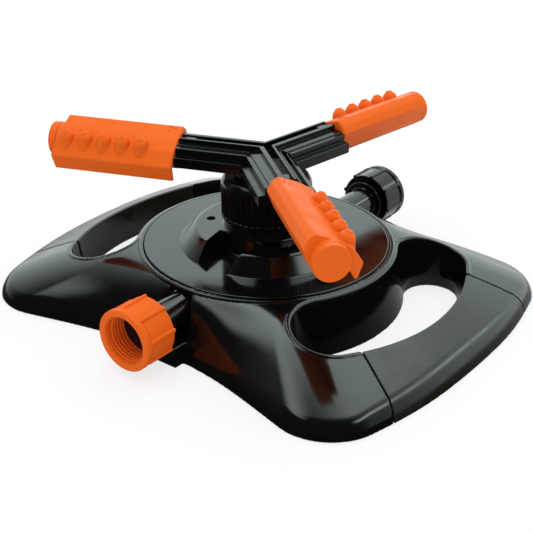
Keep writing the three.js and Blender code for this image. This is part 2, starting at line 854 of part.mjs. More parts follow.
function rotorArms() {
  const steps = [[plateHalf, plateTop], [shoulderHalf, shoulderTop], [railHalf, railTop], [lipHalf, lipTop]];
  const layers = steps.map(([half, top]) => prism(armPlan(half, armLength), armBottom, top));
  const channel = prism(armPlan(channelHalf, armLength + overrun), railTop, bigHeight);
  const spigot = cylinderAlongArm(spigotRadius, armLength - 2, spigotEnd);
  const bore = cylinderAlongArm(armBore, 0, spigotEnd + overrun, smallSegments);
  const ringPlace = spigotEnd - ringInset;
  const grooveCut = cylinderAlongArm(spigotRadius + overrun, ringPlace - grooveHalf, ringPlace + grooveHalf);
  const groove = grooveCut.subtract(cylinderAlongArm(spigotRadius - ringGroove, 0, spigotEnd));
  const pointer = box(
    armLength - pointerLength, armLength, -pointerHalfWidth, pointerHalfWidth,
    railTop - overrun, railTop + pointerRise);
  const hub = latheSolid([
    [0, hubBottom],
    [hubRadius - 1.5, hubBottom],
    [hubRadius, hubBottom + 1.5],
    [hubRadius, armBottom + overrun],
    [0, armBottom + overrun],
  ]);
  const socket = cylinder(spindleTenonRadius + clearance, 0, hubBottom + spindleTenonHeight);
  return joined(layers)
    .subtract(channel)
    .add(onEachArm(spigot.add(pointer)))
    .add(hub)
    .subtract(onEachArm(groove))
    .subtract(onEachArm(bore))
    .subtract(socket)
    .subtract(cylinder(spindleBore, 0, tubeHeight, 0, 0, smallSegments));
}

function rotorSpindle() {
  const top = hubBottom - clearance;
  const tenonTop = hubBottom + spindleTenonHeight - clearance;
  return latheSolid([
    [spindleBore, spindleFlangeBottom],
    [spindleFlangeRadius, spindleFlangeBottom],
    [spindleFlangeRadius, spindleFlangeTop],
    [spindleRadius, spindleFlangeTop],
    [spindleRadius, top],
    [spindleTenonRadius, top],
    [spindleTenonRadius, tenonTop],
    [spindleBore, tenonTop],
  ]);
}

function spigotRing() {
  const profile = [];
  const middle = spigotRadius - ringHalf;
  for (let i = 0; i < 6; i++) {
    const angle = i * Math.PI / 3;
    profile.push([middle + ringHalf * Math.cos(angle), 2 * ringHalf * Math.sin(angle)]);
  }
  const points = profile.map(([r, x]) => new THREE.Vector2(r, x));
  points.push(points[0].clone());
  const geometry = new THREE.LatheGeometry(points);
  geometry.rotateZ(-Math.PI / 2);
  geometry.translate(spigotEnd - ringInset, 0, tubeHeight);
  return toSolid(geometry);
}

// ---- spray sleeves ----------------------------------------------------------------------
// section across the arm: tube below, canted flat on top, wing on the bump side
function sleeveShape() {
  const inner = [
    [sleeveWingBottom[0] - wingThickness, sleeveWingBottom[1] + 0.2],
    [sleeveWingTop[0] - wingThickness - 0.6, sleeveWingTop[1] - 0.4],
  ];
  const tube = [];
  for (let deg = -8; deg >= -160; deg -= 19) {
    tube.push([sleeveTubeRadius * Math.cos(deg * degrees), sleeveTubeRadius * Math.sin(deg * degrees)]);
  }
  return [
    sleeveTopLeft, sleeveTopRight, sleeveShoulder, sleeveWingTop, sleeveWingBottom,
    ...inner, ...tube, sleeveSide,
  ];
}

// extrudes a section given across the arm (side, height) from one radius to another
function alongArm(section, from, to) {
  const geometry = new THREE.ExtrudeGeometry(polygon(section), { depth: to - from, bevelEnabled: false });
  geometry.applyMatrix4(new THREE.Matrix4().makeBasis(
    new THREE.Vector3(0, 1, 0), new THREE.Vector3(0, 0, 1), new THREE.Vector3(1, 0, 0)));
  geometry.translate(from, 0, tubeHeight);
  return toSolid(geometry);
}

function spraySleeve() {
  const body = alongArm(sleeveShape(), sleeveStart, sleeveEndWing);
  const far = capEnd;
  const cut = prism(polygon([
    [sleeveEndTop, sleeveTopLeft[1] + 1],
    [far, sleeveTopLeft[1] + 1],
    [far, sleeveWingBottom[1] - 1],
    [sleeveEndFoot, sleeveWingBottom[1] - 1],
    [sleeveEndWing, sleeveWingTop[1]],
  ]), -far, far);
  const bumps = [];
  for (let i = 0; i < bumpCount; i++) {
    const ball = new THREE.SphereGeometry(bumpRadius, 8, 6);
    ball.translate(bumpFirst + i * bumpPitch, bumpCentre[0], tubeHeight + bumpCentre[1]);
    bumps.push(toSolid(ball));
  }
  return body
    .subtract(cut.rotate([90, 0, 0]).translate([0, 0, tubeHeight]))
    .add(joined(bumps))
    .subtract(cylinderAlongArm(spigotRadius + clearance, 0, far));
}

function endCap() {
  const head = cylinderAlongArm(capRadius, capFront, capEnd - 1)
    .add(cylinderAlongArm(capRadius - 1, capFront, capEnd));
  const plug = cylinderAlongArm(spigotRadius, capFront - capPlugLength, capFront + overrun);
  return head.add(plug);
}

// ---- scene ----------------------------------------------------------------------------------
const blackGloss = new THREE.MeshStandardMaterial({ color: 0x101211, roughness: 0.12, metalness: 0 });
const blackSatin = new THREE.MeshStandardMaterial({ color: 0x141514, roughness: 0.38, metalness: 0 });
const gripBlack = new THREE.MeshStandardMaterial({ color: 0x1a1b18, roughness: 0.3, metalness: 0 });
const orange = new THREE.MeshStandardMaterial({ color: 0xf06421, roughness: 0.42, metalness: 0 });
const whitePlastic = new THREE.MeshStandardMaterial({ color: 0xd8d8d2, roughness: 0.5, metalness: 0 });
const rubber = new THREE.MeshStandardMaterial({ color: 0x17181a, roughness: 0.8, metalness: 0 });
const steel = new THREE.MeshStandardMaterial({ color: 0xb9bcbf, roughness: 0.35, metalness: 1 });

const group = new THREE.Group();

function addMesh(name, geometry, material, parent = group) {
  const mesh = new THREE.Mesh(geometry, material);
  mesh.name = name;
  parent.add(mesh);
  return mesh;
}

addMesh('base_body', toGeometry(baseBody()), blackGloss);
const gripGeometry = toGeometry(gripCover());
addMesh('grip_right', gripGeometry, gripBlack);
addMesh('grip_left', gripGeometry, gripBlack).rotation.z = Math.PI;
addMesh('top_cover', toGeometry(topCover()), blackGloss);
const coverScrewGeometry = toGeometry(coverScrew());
screwPlaces().forEach(([x, y], i) => {
  addMesh(`cover_screw_${i + 1}`, coverScrewGeometry, steel).position.set(x, y, 0);
});
addMesh('water_tee', toGeometry(waterTee()), blackSatin);
addMesh('tee_clamp', toGeometry(teeClamp()), blackSatin);
const clampScrewGeometry = toGeometry(clampScrew());
[1, -1].forEach((side, i) => {
  addMesh(`clamp_screw_${i + 1}`, clampScrewGeometry, steel).position.x = side * clampScrewX;
});
addMesh('inlet_coupling', toGeometry(inletCoupling()), orange);
addMesh('inlet_washer', toGeometry(inletWasher()), rubber);
addMesh('outlet_cap', toGeometry(outletCap()), blackSatin);
addMesh('outlet_washer', toGeometry(outletWasher()), rubber);
addMesh('retaining_nut', toGeometry(retainingNut()), blackSatin);
addMesh('spindle_seal', toGeometry(spindleSeal()), rubber);
addMesh('thrust_washer', toGeometry(thrustWasher()), whitePlastic);

const rotor = new THREE.Group();
rotor.rotation.z = armAngleDeg * degrees;
group.add(rotor);
addMesh('rotor_arms', toGeometry(rotorArms()), blackSatin, rotor);
addMesh('rotor_spindle', toGeometry(rotorSpindle()), whitePlastic, rotor);
const sleeveGeometry = toGeometry(spraySleeve());
const endCapGeometry = toGeometry(endCap());
const ringGeometry = toGeometry(spigotRing());
for (let i = 0; i < armCount; i++) {
  const arm = new THREE.Group();
  arm.rotation.z = i * 2 * Math.PI / armCount;
  rotor.add(arm);
  addMesh(`spray_sleeve_${i + 1}`, sleeveGeometry, orange, arm);
  addMesh(`end_cap_${i + 1}`, endCapGeometry, orange, arm);
  addMesh(`spigot_ring_${i + 1}`, ringGeometry, rubber, arm);
}

export default group;
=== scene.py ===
"""A three-arm rotating lawn sprinkler: glossy black base, satin black rotor, orange spray sleeves.

Sizes are in millimetres in the part's frame, and objects are made in metres.
"""

import json
import math

import bmesh
import bpy
import numpy as np
from mathutils import Matrix, Vector

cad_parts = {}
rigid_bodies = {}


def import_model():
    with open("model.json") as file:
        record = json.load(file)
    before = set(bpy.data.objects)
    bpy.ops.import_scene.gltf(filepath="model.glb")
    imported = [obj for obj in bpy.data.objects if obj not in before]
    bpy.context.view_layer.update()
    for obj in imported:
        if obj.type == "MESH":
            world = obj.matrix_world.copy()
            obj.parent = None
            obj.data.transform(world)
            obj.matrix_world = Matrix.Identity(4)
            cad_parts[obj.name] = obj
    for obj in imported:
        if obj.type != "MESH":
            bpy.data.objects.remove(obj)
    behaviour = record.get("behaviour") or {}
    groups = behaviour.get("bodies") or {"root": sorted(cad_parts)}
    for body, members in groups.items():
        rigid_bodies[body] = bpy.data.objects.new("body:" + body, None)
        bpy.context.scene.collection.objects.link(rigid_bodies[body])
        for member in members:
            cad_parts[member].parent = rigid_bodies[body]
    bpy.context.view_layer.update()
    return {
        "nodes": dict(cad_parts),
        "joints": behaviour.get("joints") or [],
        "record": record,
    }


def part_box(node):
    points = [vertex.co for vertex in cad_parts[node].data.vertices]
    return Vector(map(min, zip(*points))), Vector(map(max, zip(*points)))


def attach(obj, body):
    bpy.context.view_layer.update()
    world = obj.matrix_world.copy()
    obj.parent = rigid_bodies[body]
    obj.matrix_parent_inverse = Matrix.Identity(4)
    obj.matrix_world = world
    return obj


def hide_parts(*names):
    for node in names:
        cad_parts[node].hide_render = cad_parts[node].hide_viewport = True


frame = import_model()

MM = 0.001


def size_of(node):
    """Lowest and highest corner of a CAD node, in millimetres."""
    low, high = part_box(node)
    return np.array(low) / MM, np.array(high) / MM


def joint(name):
    return next(j for j in frame["joints"] if j["name"] == name)


# ---- sizes ------------------------------------------------------------------

BASE_LOW, BASE_HIGH = size_of("base_body")
HANDLE_SPAN = size_of("grip_right")[1][0]
BEAD_TOP = BASE_HIGH[2]
HOSE_SPAN = 96.0
HOSE_HEIGHT = joint("coupling_swivel")["pos_m"][2] / MM
TUBE_HEIGHT = joint("sleeve_tilt_1")["pos_m"][2] / MM
ARM_ANGLES = [
    math.atan2(joint(f"sleeve_tilt_{i}")["axis"][1], joint(f"sleeve_tilt_{i}")["axis"][0])
    for i in (1, 2, 3)
]

# the round corner of the ground outline: its centre, radius, and where its arc starts and ends
CORNER_X = 104.0
CORNER_Y = 79.3
CORNER_RADIUS = 33.9
CORNER_START = math.radians(14)
CORNER_END = math.radians(105)
OUTLINE_EASE = 0.4

# the dome from the drum out to its ridge and rim, its wall, and the recess and deck inside the drum
DRUM = 77.0
DOME_TOP = 34.3
RIDGE = 7.0
RIDGE_RISE = 3.4
DOME_POWER = 1.45
RIM_ROUND = 0.92
RIM_LEAST = 0.5
WALL = 2.8
RECESS = 74.7
DECK_TOP = 33.0
DECK_BOTTOM = 30.4
DRUM_FOOT = 2.0
INNER_EDGE = 0.3
FOOT_EDGE = 0.4

# the hand openings. Low and high are a height, how far the middle line is from the axis, and the half width
SLOT_ANGLE = math.radians(32.4)
SLOT_LOW = (2.5, 101.3, 16.6)
SLOT_HIGH = (28.0, 101.4, 20.6)
SLOT_EDGE = 1.5
SLOT_LIP = 2.6
LIP_RISE = 0.5
LIP_EDGE = 0.6

# the grip covers on the handle bars
GRIP_ANGLE = math.radians(27.5)
GRIP_REACH = 92.0
GRIP_SEAM = 0.6
GRIP_EDGE = 0.5

# the bead round the cover, and the cores and fins that are hidden inside
BEAD_RADIUS = 76.35
BEAD_HALF = 1.65
BEAD_FOOT = 30.0
BEAD_EDGE = 1.1
BEAD_FILLET = 0.25
RISER_BORE = 17.0
CORE_GAP = 0.3
CORE_WALL = 2.5
CORE_SLOT_WALL = 2.8
CORE_OVERLAP = 1.3
FIN_ANGLES = (40, 22)
FIN_HALF = 1.2
FIN_FOOT = 3.0

# the hose pipe's radius, and the necks and pockets that it leaves through
PIPE = 9.9
PIPE_GAP = 0.3
PIPE_FOOT = HOSE_HEIGHT - PIPE - PIPE_GAP
NECK_HALF = 16.0
NECK_REACH = 102.6
NECK_EDGE = 0.2
NECK_FILLET = 1.2
POCKET_START = 75.5
POCKET_HALF = 6.5
POCKET_FLARE = 0.55
POCKET_CORNER = 2.5
POCKET_FLOOR_EDGE = 0.8
POCKET_EDGE = 1.4


# ---- surfaces from fields ---------------------------------------------------
# A field is a function of x, y, z: below 0 inside the solid, and about the distance outside.


def meet(a, b, r=0.0):
    """What is in both fields, with its edge rounded to radius r."""
    return np.minimum(-r, np.maximum(a, b)) + np.hypot(np.maximum(r + a, 0), np.maximum(r + b, 0))


def cut(a, b, r=0.0):
    """The first field without the second, with the edge rounded."""
    return meet(a, -b, r)


def union(a, b, r=0.0):
    """Both fields, with a fillet of radius r where they meet."""
    return np.maximum(r, np.minimum(a, b)) - np.hypot(np.maximum(r - a, 0), np.maximum(r - b, 0))


CORNERS = np.array([(i, j, k) for i in (0, 1) for j in (0, 1) for k in (0, 1)])
EDGES = [(a, b) for a in range(8) for b in range(a + 1, 8) if abs(CORNERS[a] - CORNERS[b]).sum() == 1]


def gradient(field, p, step):
    return np.stack(
        [
            (field(*(p + d).T) - field(*(p - d).T)) / (2 * step)
            for d in np.eye(3) * step
        ],
        axis=1,
    )


def net(field, low, high, cell):
    """Points and four-sided faces of the surface where the field is 0."""
    low = np.asarray(low, float) - cell * 1.5
    counts = np.ceil((np.asarray(high, float) + cell * 1.5 - low) / cell).astype(int) + 1
    axes = [low[i] + cell * np.arange(counts[i]) for i in range(3)]
    values = field(*np.meshgrid(*axes, indexing="ij", sparse=True))
    values = np.broadcast_to(values, counts)
    inside = values < 0
    cells = [slice(0, -1), slice(1, None)]
    total = sum(inside[cells[i], cells[j], cells[k]].astype(np.int8) for i, j, k in CORNERS)
    where = np.argwhere((total > 0) & (total < 8))
    corner = np.stack([values[tuple((where + c).T)] for c in CORNERS], axis=1)
    point = np.zeros((len(where), 3))
    crossings = np.zeros(len(where))
    for a, b in EDGES:
        va, vb = corner[:, a], corner[:, b]
        crossed = (va < 0) != (vb < 0)
        t = np.where(crossed, va / np.where(crossed, va - vb, 1), 0)
        point += np.where(crossed[:, None], CORNERS[a] + t[:, None] * (CORNERS[b] - CORNERS[a]), 0)
        crossings += crossed
    points = low + cell * (where + point / crossings[:, None])
    number = np.full(total.shape, -1)
    number[tuple(where.T)] = np.arange(len(where))
    faces = []
    for axis in range(3):
        ends = [slice(None)] * 3
        starts = [slice(None)] * 3
        ends[axis] = slice(1, None)
        starts[axis] = slice(0, -1)
        first, second = inside[tuple(starts)], inside[tuple(ends)]
        u, v = np.eye(3, dtype=int)[(axis + 1) % 3], np.eye(3, dtype=int)[(axis + 2) % 3]
        for sign, flips in ((first & ~second, False), (second & ~first, True)):
            at = np.argwhere(sign)
            quad = [number[tuple(c.T)] for c in (at, at - u, at - u - v, at - v)]
            quad = np.stack(quad[::-1] if flips else quad, axis=1)
            faces.append(quad)
    faces = np.concatenate(faces)
    return points, faces


def settle(field, points, cell, rounds=3):
    """Moves points onto the surface."""
    for _ in range(rounds):
        slope = gradient(field, points, cell * 0.05)
        steep = np.maximum((slope**2).sum(1), 0.2)
        move = -(field(*points.T) / steep)[:, None] * slope
        length = np.linalg.norm(move, axis=1, keepdims=True)
        points = points + move * np.minimum(1, cell * 0.5 / np.maximum(length, 1e-9))
    return points


def new_object(name, mesh, material):
    made = bpy.data.objects.new(name, mesh)
    bpy.context.scene.collection.objects.link(made)
    mesh.materials.append(material)
    return made


def set_normals(mesh, field, cell):
    points = vertex_array(mesh) / MM
    slope = gradient(field, points, cell * 0.12)
    slope /= np.maximum(np.linalg.norm(slope, axis=1, keepdims=True), 1e-9)
    mesh.shade_smooth()
    mesh.normals_split_custom_set_from_vertices(slope)


def vertex_array(mesh):
    values = np.zeros(len(mesh.vertices) * 3)
    mesh.vertices.foreach_get("co", values)
    return values.reshape(-1, 3)


def set_vertices(mesh, points):
    mesh.vertices.foreach_set("co", np.ascontiguousarray(points).ravel())
    mesh.update()


def skin(name, field, low, high, cell, material, keep=0.4):
    """An object whose skin is where the field is 0. keep is the share of its faces that stays."""
    points, faces = net(field, low, high, cell)
    points = settle(field, points, cell)
    mesh = bpy.data.meshes.new(name)
    mesh.from_pydata((points * MM).tolist(), [], faces.tolist())
    made = new_object(name, mesh, material)
    if keep < 1:
        thin = made.modifiers.new("thin", "DECIMATE")
        thin.ratio = keep
        apply_modifiers(made)
        set_vertices(made.data, settle(field, vertex_array(made.data) / MM, cell, 2) * MM)
    set_normals(made.data, field, cell)
    return made


def apply_modifiers(piece):
    evaluated = piece.evaluated_get(bpy.context.evaluated_depsgraph_get())
    mesh = bpy.data.meshes.new_from_object(evaluated)
    old = piece.data
    piece.modifiers.clear()
    piece.data = mesh
    bpy.data.meshes.remove(old)


def rounded(points, radius, steps=3):
    """A closed outline with its corners rounded."""
    points = [np.array(p, float) for p in points]
    outline = []
    for i, here in enumerate(points):
        before, after = points[i - 1] - here, points[(i + 1) % len(points)] - here
        reach = min(radius, 0.45 * np.linalg.norm(before), 0.45 * np.linalg.norm(after))
        start = here + before / np.linalg.norm(before) * reach
        end = here + after / np.linalg.norm(after) * reach
        for t in np.linspace(0, 1, steps + 1):
            outline.append((1 - t) ** 2 * start + 2 * t * (1 - t) * here + t**2 * end)
    return np.array(outline)


def revolve(name, profile, radius, material, segments=96, turn=None):
    """A closed profile of (radius, height) with rounded corners, turned about Z, then moved by a matrix."""
    outline = rounded(profile, radius)
    count = len(outline)
    angles = np.arange(segments) * 2 * math.pi / segments
    points = np.stack(
        [
            np.outer(np.cos(angles), outline[:, 0]),
            np.outer(np.sin(angles), outline[:, 0]),
            np.broadcast_to(outline[:, 1], (segments, count)),
        ],
        axis=2,
    ).reshape(-1, 3)
    i, j = np.meshgrid(np.arange(segments), np.arange(count), indexing="ij")
    i2, j2 = (i + 1) % segments, (j + 1) % count
    corners = [i * count + j, i2 * count + j, i2 * count + j2, i * count + j2]
    faces = np.stack(corners, axis=2).reshape(-1, 4)
    mesh = bpy.data.meshes.new(name)
    mesh.from_pydata((points * MM).tolist(), [], faces.tolist())
    tidy = bmesh.new()
    tidy.from_mesh(mesh)
    bmesh.ops.remove_doubles(tidy, verts=tidy.verts, dist=1e-6)
    bmesh.ops.recalc_face_normals(tidy, faces=tidy.faces)
    tidy.to_mesh(mesh)
    tidy.free()
    mesh.shade_smooth()
    made = new_object(name, mesh, material)
    made.modifiers.new("weighted", "WEIGHTED_NORMAL").keep_sharp = True
    if turn is not None:
        mesh.transform(turn)
    return made


def outline_field(u, v, outline):
    """Signed distance to a closed outline, below 0 inside."""
    u, v = np.broadcast_arrays(u, v)
    nearest = np.full(u.shape, 1e9)
    inside = np.zeros(u.shape, bool)
    for a, b in zip(outline, np.roll(outline, -1, axis=0)):
        edge = b - a
        length = edge @ edge
        if length < 1e-12:
            continue
        t = np.clip(((u - a[0]) * edge[0] + (v - a[1]) * edge[1]) / length, 0, 1)
        nearest = np.minimum(nearest, (u - a[0] - t * edge[0]) ** 2 + (v - a[1] - t * edge[1]) ** 2)
        if a[1] != b[1]:
            crosses = (a[1] > v) != (b[1] > v)
            inside ^= crosses & (u < a[0] + (v - a[1]) * edge[0] / edge[1])
    return np.where(inside, -1, 1) * np.sqrt(nearest)


# ---- the base's form --------------------------------------------------------


def ground_outline():
    """Angle from +X and radius of points along a quarter of the base's ground outline."""

    def bezier(p0, p1, p2, p3, count):
        t = np.linspace(0, 1, count)[:, None]
        return (1 - t) ** 3 * p0 + 3 * (1 - t) ** 2 * t * p1 + 3 * (1 - t) * t**2 * p2 + t**3 * p3

    def on_corner(angle):
        across = CORNER_X + CORNER_RADIUS * np.cos(angle)
        along = CORNER_Y + CORNER_RADIUS * np.sin(angle)
        return np.array([across, along]).T

    first, last = on_corner(CORNER_START), on_corner(CORNER_END)
    handle, hose = np.array([HANDLE_SPAN, 0]), np.array([0, HOSE_SPAN])
    reach = np.linalg.norm(handle - first) * OUTLINE_EASE
    ease = np.linalg.norm(hose - last) * OUTLINE_EASE
    back = np.array([math.sin(CORNER_START), -math.cos(CORNER_START)])
    ahead = np.array([-math.sin(CORNER_END), math.cos(CORNER_END)])
    side = bezier(handle, handle + [0, reach], first + back * reach, first, 400)
    corner = on_corner(np.linspace(CORNER_START, CORNER_END, 600))
    waist = bezier(last, last + ahead * ease, hose + [ease, 0], hose, 400)
    points = np.concatenate([side, corner[1:], waist[1:]])
    return np.arctan2(points[:, 1], points[:, 0]), np.hypot(points[:, 0], points[:, 1])


OUTLINE_ANGLE, OUTLINE_RADIUS = ground_outline()
OUTLINE_LEAN = np.cos(np.arctan(np.gradient(OUTLINE_RADIUS, OUTLINE_ANGLE) / OUTLINE_RADIUS))


def dome(x, y, z, inset=0.0):
    """The closed outer form of the base, drawn in by an inset."""
    angle = np.arctan2(np.abs(y), np.abs(x))
    radius = np.hypot(x, y)
    rim = np.interp(angle, OUTLINE_ANGLE, OUTLINE_RADIUS)
    lean = np.interp(angle, OUTLINE_ANGLE, OUTLINE_LEAN)
    share = np.clip((radius - DRUM) / (rim - DRUM), 0, None)
    ridge = RIDGE + RIDGE_RISE * np.cos(2 * angle)
    drop = DOME_TOP - ridge
    height = ridge + drop * (1 - share**DOME_POWER)
    slope = drop * DOME_POWER * share ** (DOME_POWER - 1) / (rim - DRUM)
    top = (z - height) / np.hypot(1, slope)
    side = (radius - rim) * lean
    return meet(top + inset, side + inset, np.clip(ridge * RIM_ROUND - inset, RIM_LEAST, None))


def hand_slot(x, y, z):
    """The two kidney-shaped hand openings, wider at the top."""
    t = (z - SLOT_LOW[0]) / (SLOT_HIGH[0] - SLOT_LOW[0])
    middle = SLOT_LOW[1] + t * (SLOT_HIGH[1] - SLOT_LOW[1])
    half = SLOT_LOW[2] + t * (SLOT_HIGH[2] - SLOT_LOW[2])
    angle = np.arctan2(np.abs(y), np.abs(x))
    along = np.abs(np.hypot(x, y) - middle)
    end = np.hypot(np.abs(x) - middle * math.cos(SLOT_ANGLE), np.abs(y) - middle * math.sin(SLOT_ANGLE))
    lean = math.cos(math.atan((SLOT_HIGH[2] - SLOT_LOW[2]) / (SLOT_HIGH[0] - SLOT_LOW[0])))
    return (np.where(angle < SLOT_ANGLE, along, end) - half) * lean


def pocket(x, y, z):
    """The notches that the hose line leaves through."""
    out = np.abs(y) - POCKET_START
    side = (np.abs(x) - POCKET_HALF - POCKET_FLARE * out) / math.hypot(1, POCKET_FLARE)
    return meet(meet(side, -out, POCKET_CORNER), PIPE_FOOT - z, POCKET_FLOOR_EDGE)


def handle_sector(x, y):
    """Wedges over the two handle bars."""
    wedge = np.abs(y) * math.cos(GRIP_ANGLE) - np.abs(x) * math.sin(GRIP_ANGLE)
    return np.maximum(wedge, GRIP_REACH - np.abs(x))


def base_field(x, y, z):
    """The moulded base: dome, deck, drum, bead, necks, openings and the bars' cores, hollow below."""
    radius = np.hypot(x, y)
    slot, notch = hand_slot(x, y, z), pocket(x, y, z)
    form = dome(x, y, z)
    lip = meet(dome(x, y, z, -LIP_RISE), slot - SLOT_LIP, LIP_EDGE)
    form = union(form, lip, LIP_EDGE)
    form = meet(form, -handle_sector(x, y), GRIP_EDGE)
    block = np.maximum(np.abs(x) - NECK_HALF, np.abs(y) - NECK_REACH)
    block = meet(np.maximum(block, POCKET_START - np.abs(y)), z - PIPE_FOOT, NECK_EDGE)
    form = union(form, block, NECK_FILLET)
    form = cut(form, slot, SLOT_EDGE)
    form = cut(form, notch, POCKET_EDGE)
    recess = np.maximum(radius - RECESS, DECK_TOP - z)
    bead_height = np.abs(z - (BEAD_TOP + BEAD_FOOT) / 2) - (BEAD_TOP - BEAD_FOOT) / 2
    bead = meet(np.abs(radius - BEAD_RADIUS) - BEAD_HALF, bead_height, BEAD_EDGE)
    form = union(np.maximum(form, -recess), bead, BEAD_FILLET)
    hollow = dome(x, y, z, WALL)
    drum = np.maximum(np.abs(radius - (DRUM + RECESS) / 2) - (DRUM - RECESS) / 2, DRUM_FOOT - z)
    deck = np.maximum(radius - DRUM, DECK_BOTTOM - z)
    keep = np.minimum.reduce([
        np.broadcast_to(f, np.shape(hollow))
        for f in (drum, deck, slot - WALL, notch - WALL, fins(x, y, z))
    ])
    hollow = np.maximum(hollow, -keep)
    bore = np.hypot(x, z - HOSE_HEIGHT) - PIPE - PIPE_GAP
    form = cut(form, hollow, INNER_EDGE)
    form = np.maximum(form, -bore)
    form = np.maximum(form, -(radius - RISER_BORE))
    core_outside = dome(x, y, z, WALL + CORE_GAP)
    core = np.maximum(core_outside, -(slot - WALL - CORE_GAP))
    core_hollow = np.maximum(core_outside + CORE_WALL, -(slot - WALL - CORE_SLOT_WALL))
    core = np.maximum(core, -core_hollow)
    core = np.maximum(core, handle_sector(x, y) - CORE_OVERLAP)
    form = np.minimum(form, core)
    return meet(form, -z, FOOT_EDGE)


def fins(x, y, z):
    """Stiffening fins under the dome."""
    walls = []
    angle = np.arctan2(np.abs(x), np.abs(y))
    radius = np.hypot(x, y)
    for turn in FIN_ANGLES:
        off = np.abs(radius * np.sin(angle - math.radians(turn))) - FIN_HALF
        walls.append(np.maximum(np.maximum(off, RECESS - radius), FIN_FOOT - z))
    return np.minimum.reduce(walls)


def grip_field(x, y, z):
    """The cover over one handle bar, a seam away from the base."""
    form = dome(x, y, z)
    form = meet(form, handle_sector(x, y) + GRIP_SEAM, GRIP_EDGE)
    slot = hand_slot(x, y, z)
    form = cut(form, slot, SLOT_EDGE)
    inside = np.maximum(dome(x, y, z, WALL), -(slot - WALL))
    form = cut(form, inside, INNER_EDGE)
    form = np.maximum(form, -x)
    return meet(form, -z, FOOT_EDGE)


# ---- the cover, nut and rotor -----------------------------------------------

COVER_RADIUS = 74.4
COVER_TOP = 35.75
TURRET_FOOT = 52.3
TURRET_TOP_RADIUS = 43.4
TURRET_TOP = 46.0
COLLAR_FOOT = 26.0
COLLAR_RADIUS = 24.2
COLLAR_TOP = 54.0
NOTCH_HALF = 11.0
NOTCH_START = 51.0
NOTCH_FLARE = 0.2
NOTCH_END = 24.0
SCREW_CIRCLE = 34.8
SCREW_ANGLE = math.radians(25)
SCREW_WELL = 2.6
WELL_FLOOR = 36.3
COVER_BORE = 20.6
COVER_GAP = 0.3
NOTCH_SINK = 1.0
NOTCH_CORNER = 1.2
NOTCH_EDGE = 0.6
DISC_EDGE = 0.5
TURRET_EDGE = 1.1
TURRET_FILLET = 0.5
COLLAR_EDGE = 0.8
COLLAR_FILLET = 1.2
WELL_EDGE = 0.35
BORE_EDGE = 0.3


def frustum(radius, z, low, high):
    """Inside a cone through two (radius, height) points."""
    lean = (high[0] - low[0]) / (high[1] - low[1])
    return (radius - low[0] - lean * (z - low[1])) / math.hypot(1, lean)


def cover_field(x, y, z):
    """The round cover with its turret, two notches, collar and screw wells."""
    radius = np.hypot(x, y)
    disc = meet(radius - COVER_RADIUS, z - COVER_TOP, DISC_EDGE)
    cone = frustum(radius, z, (TURRET_FOOT, COVER_TOP), (TURRET_TOP_RADIUS, TURRET_TOP))
    turret = meet(cone, z - TURRET_TOP, TURRET_EDGE)
    notch_half = NOTCH_HALF + NOTCH_FLARE * (NOTCH_START - np.abs(y))
    notch = meet(np.abs(x) - notch_half, NOTCH_END - np.abs(y), NOTCH_CORNER)
    turret = cut(turret, np.maximum(notch, COVER_TOP - NOTCH_SINK - z), NOTCH_EDGE)
    form = union(disc, turret, TURRET_FILLET)
    collar = frustum(radius, z, (COLLAR_FOOT, TURRET_TOP), (COLLAR_RADIUS, COLLAR_TOP))
    form = union(form, meet(collar, z - COLLAR_TOP, COLLAR_EDGE), COLLAR_FILLET)
    well_x, well_y = SCREW_CIRCLE * math.cos(SCREW_ANGLE), SCREW_CIRCLE * math.sin(SCREW_ANGLE)
    well = np.hypot(np.abs(x) - well_x, np.abs(y) - well_y) - SCREW_WELL
    form = cut(form, np.maximum(well, WELL_FLOOR - z), WELL_EDGE)
    form = cut(form, radius - COVER_BORE, BORE_EDGE)
    return np.maximum(form, DECK_TOP + COVER_GAP - z)


NUT_RADIUS = size_of("retaining_nut")[1][0]
NUT_FLUTES = 48
NUT_BOTTOM = 52.0
FLUTE_BOTTOM = 55.2
FLUTE_TOP = 74.4
NUT_TOP = 78.7
NUT_LIP = 24.6
NUT_BORE = 12.3
FLUTE_FADE = 0.7
FLUTE_INSET = 0.15
FLUTE_DEPTH = 0.95
FLUTE_POWER = 2.2
SHOULDER_RISE = 1.2
SHOULDER_EDGE = 1.6
NUT_EDGE = 0.5
NUT_END_EDGE = 0.4
NUT_MARGIN = 0.2
# how far the foot's chamfer goes in and up
NUT_CHAMFER = (1.4, 1.5)


def nut_field(x, y, z):
    """The fluted nut that holds the rotor down."""
    radius = np.hypot(x, y)
    angle = np.arctan2(y, x)
    rib = 0.5 + 0.5 * np.cos(angle * NUT_FLUTES)
    ends = np.clip(np.minimum(z - FLUTE_BOTTOM, FLUTE_TOP - z) / FLUTE_FADE, 0, 1)
    side = radius - NUT_RADIUS + ends * (FLUTE_INSET + FLUTE_DEPTH * (1 - rib**FLUTE_POWER))
    shoulder = frustum(radius, z, (NUT_RADIUS, FLUTE_TOP + SHOULDER_RISE), (NUT_LIP, NUT_TOP))
    form = meet(meet(side, shoulder, SHOULDER_EDGE), z - NUT_TOP, NUT_EDGE)
    inwards, up = NUT_CHAMFER
    foot = frustum(radius, z, (NUT_RADIUS - inwards, NUT_BOTTOM), (NUT_RADIUS, NUT_BOTTOM + up))
    form = meet(meet(form, foot, NUT_EDGE), NUT_BOTTOM - z, NUT_END_EDGE)
    return cut(form, radius - NUT_BORE, NUT_END_EDGE)


ARM_LENGTH = 52.9
ARM_BOTTOM = 82.6
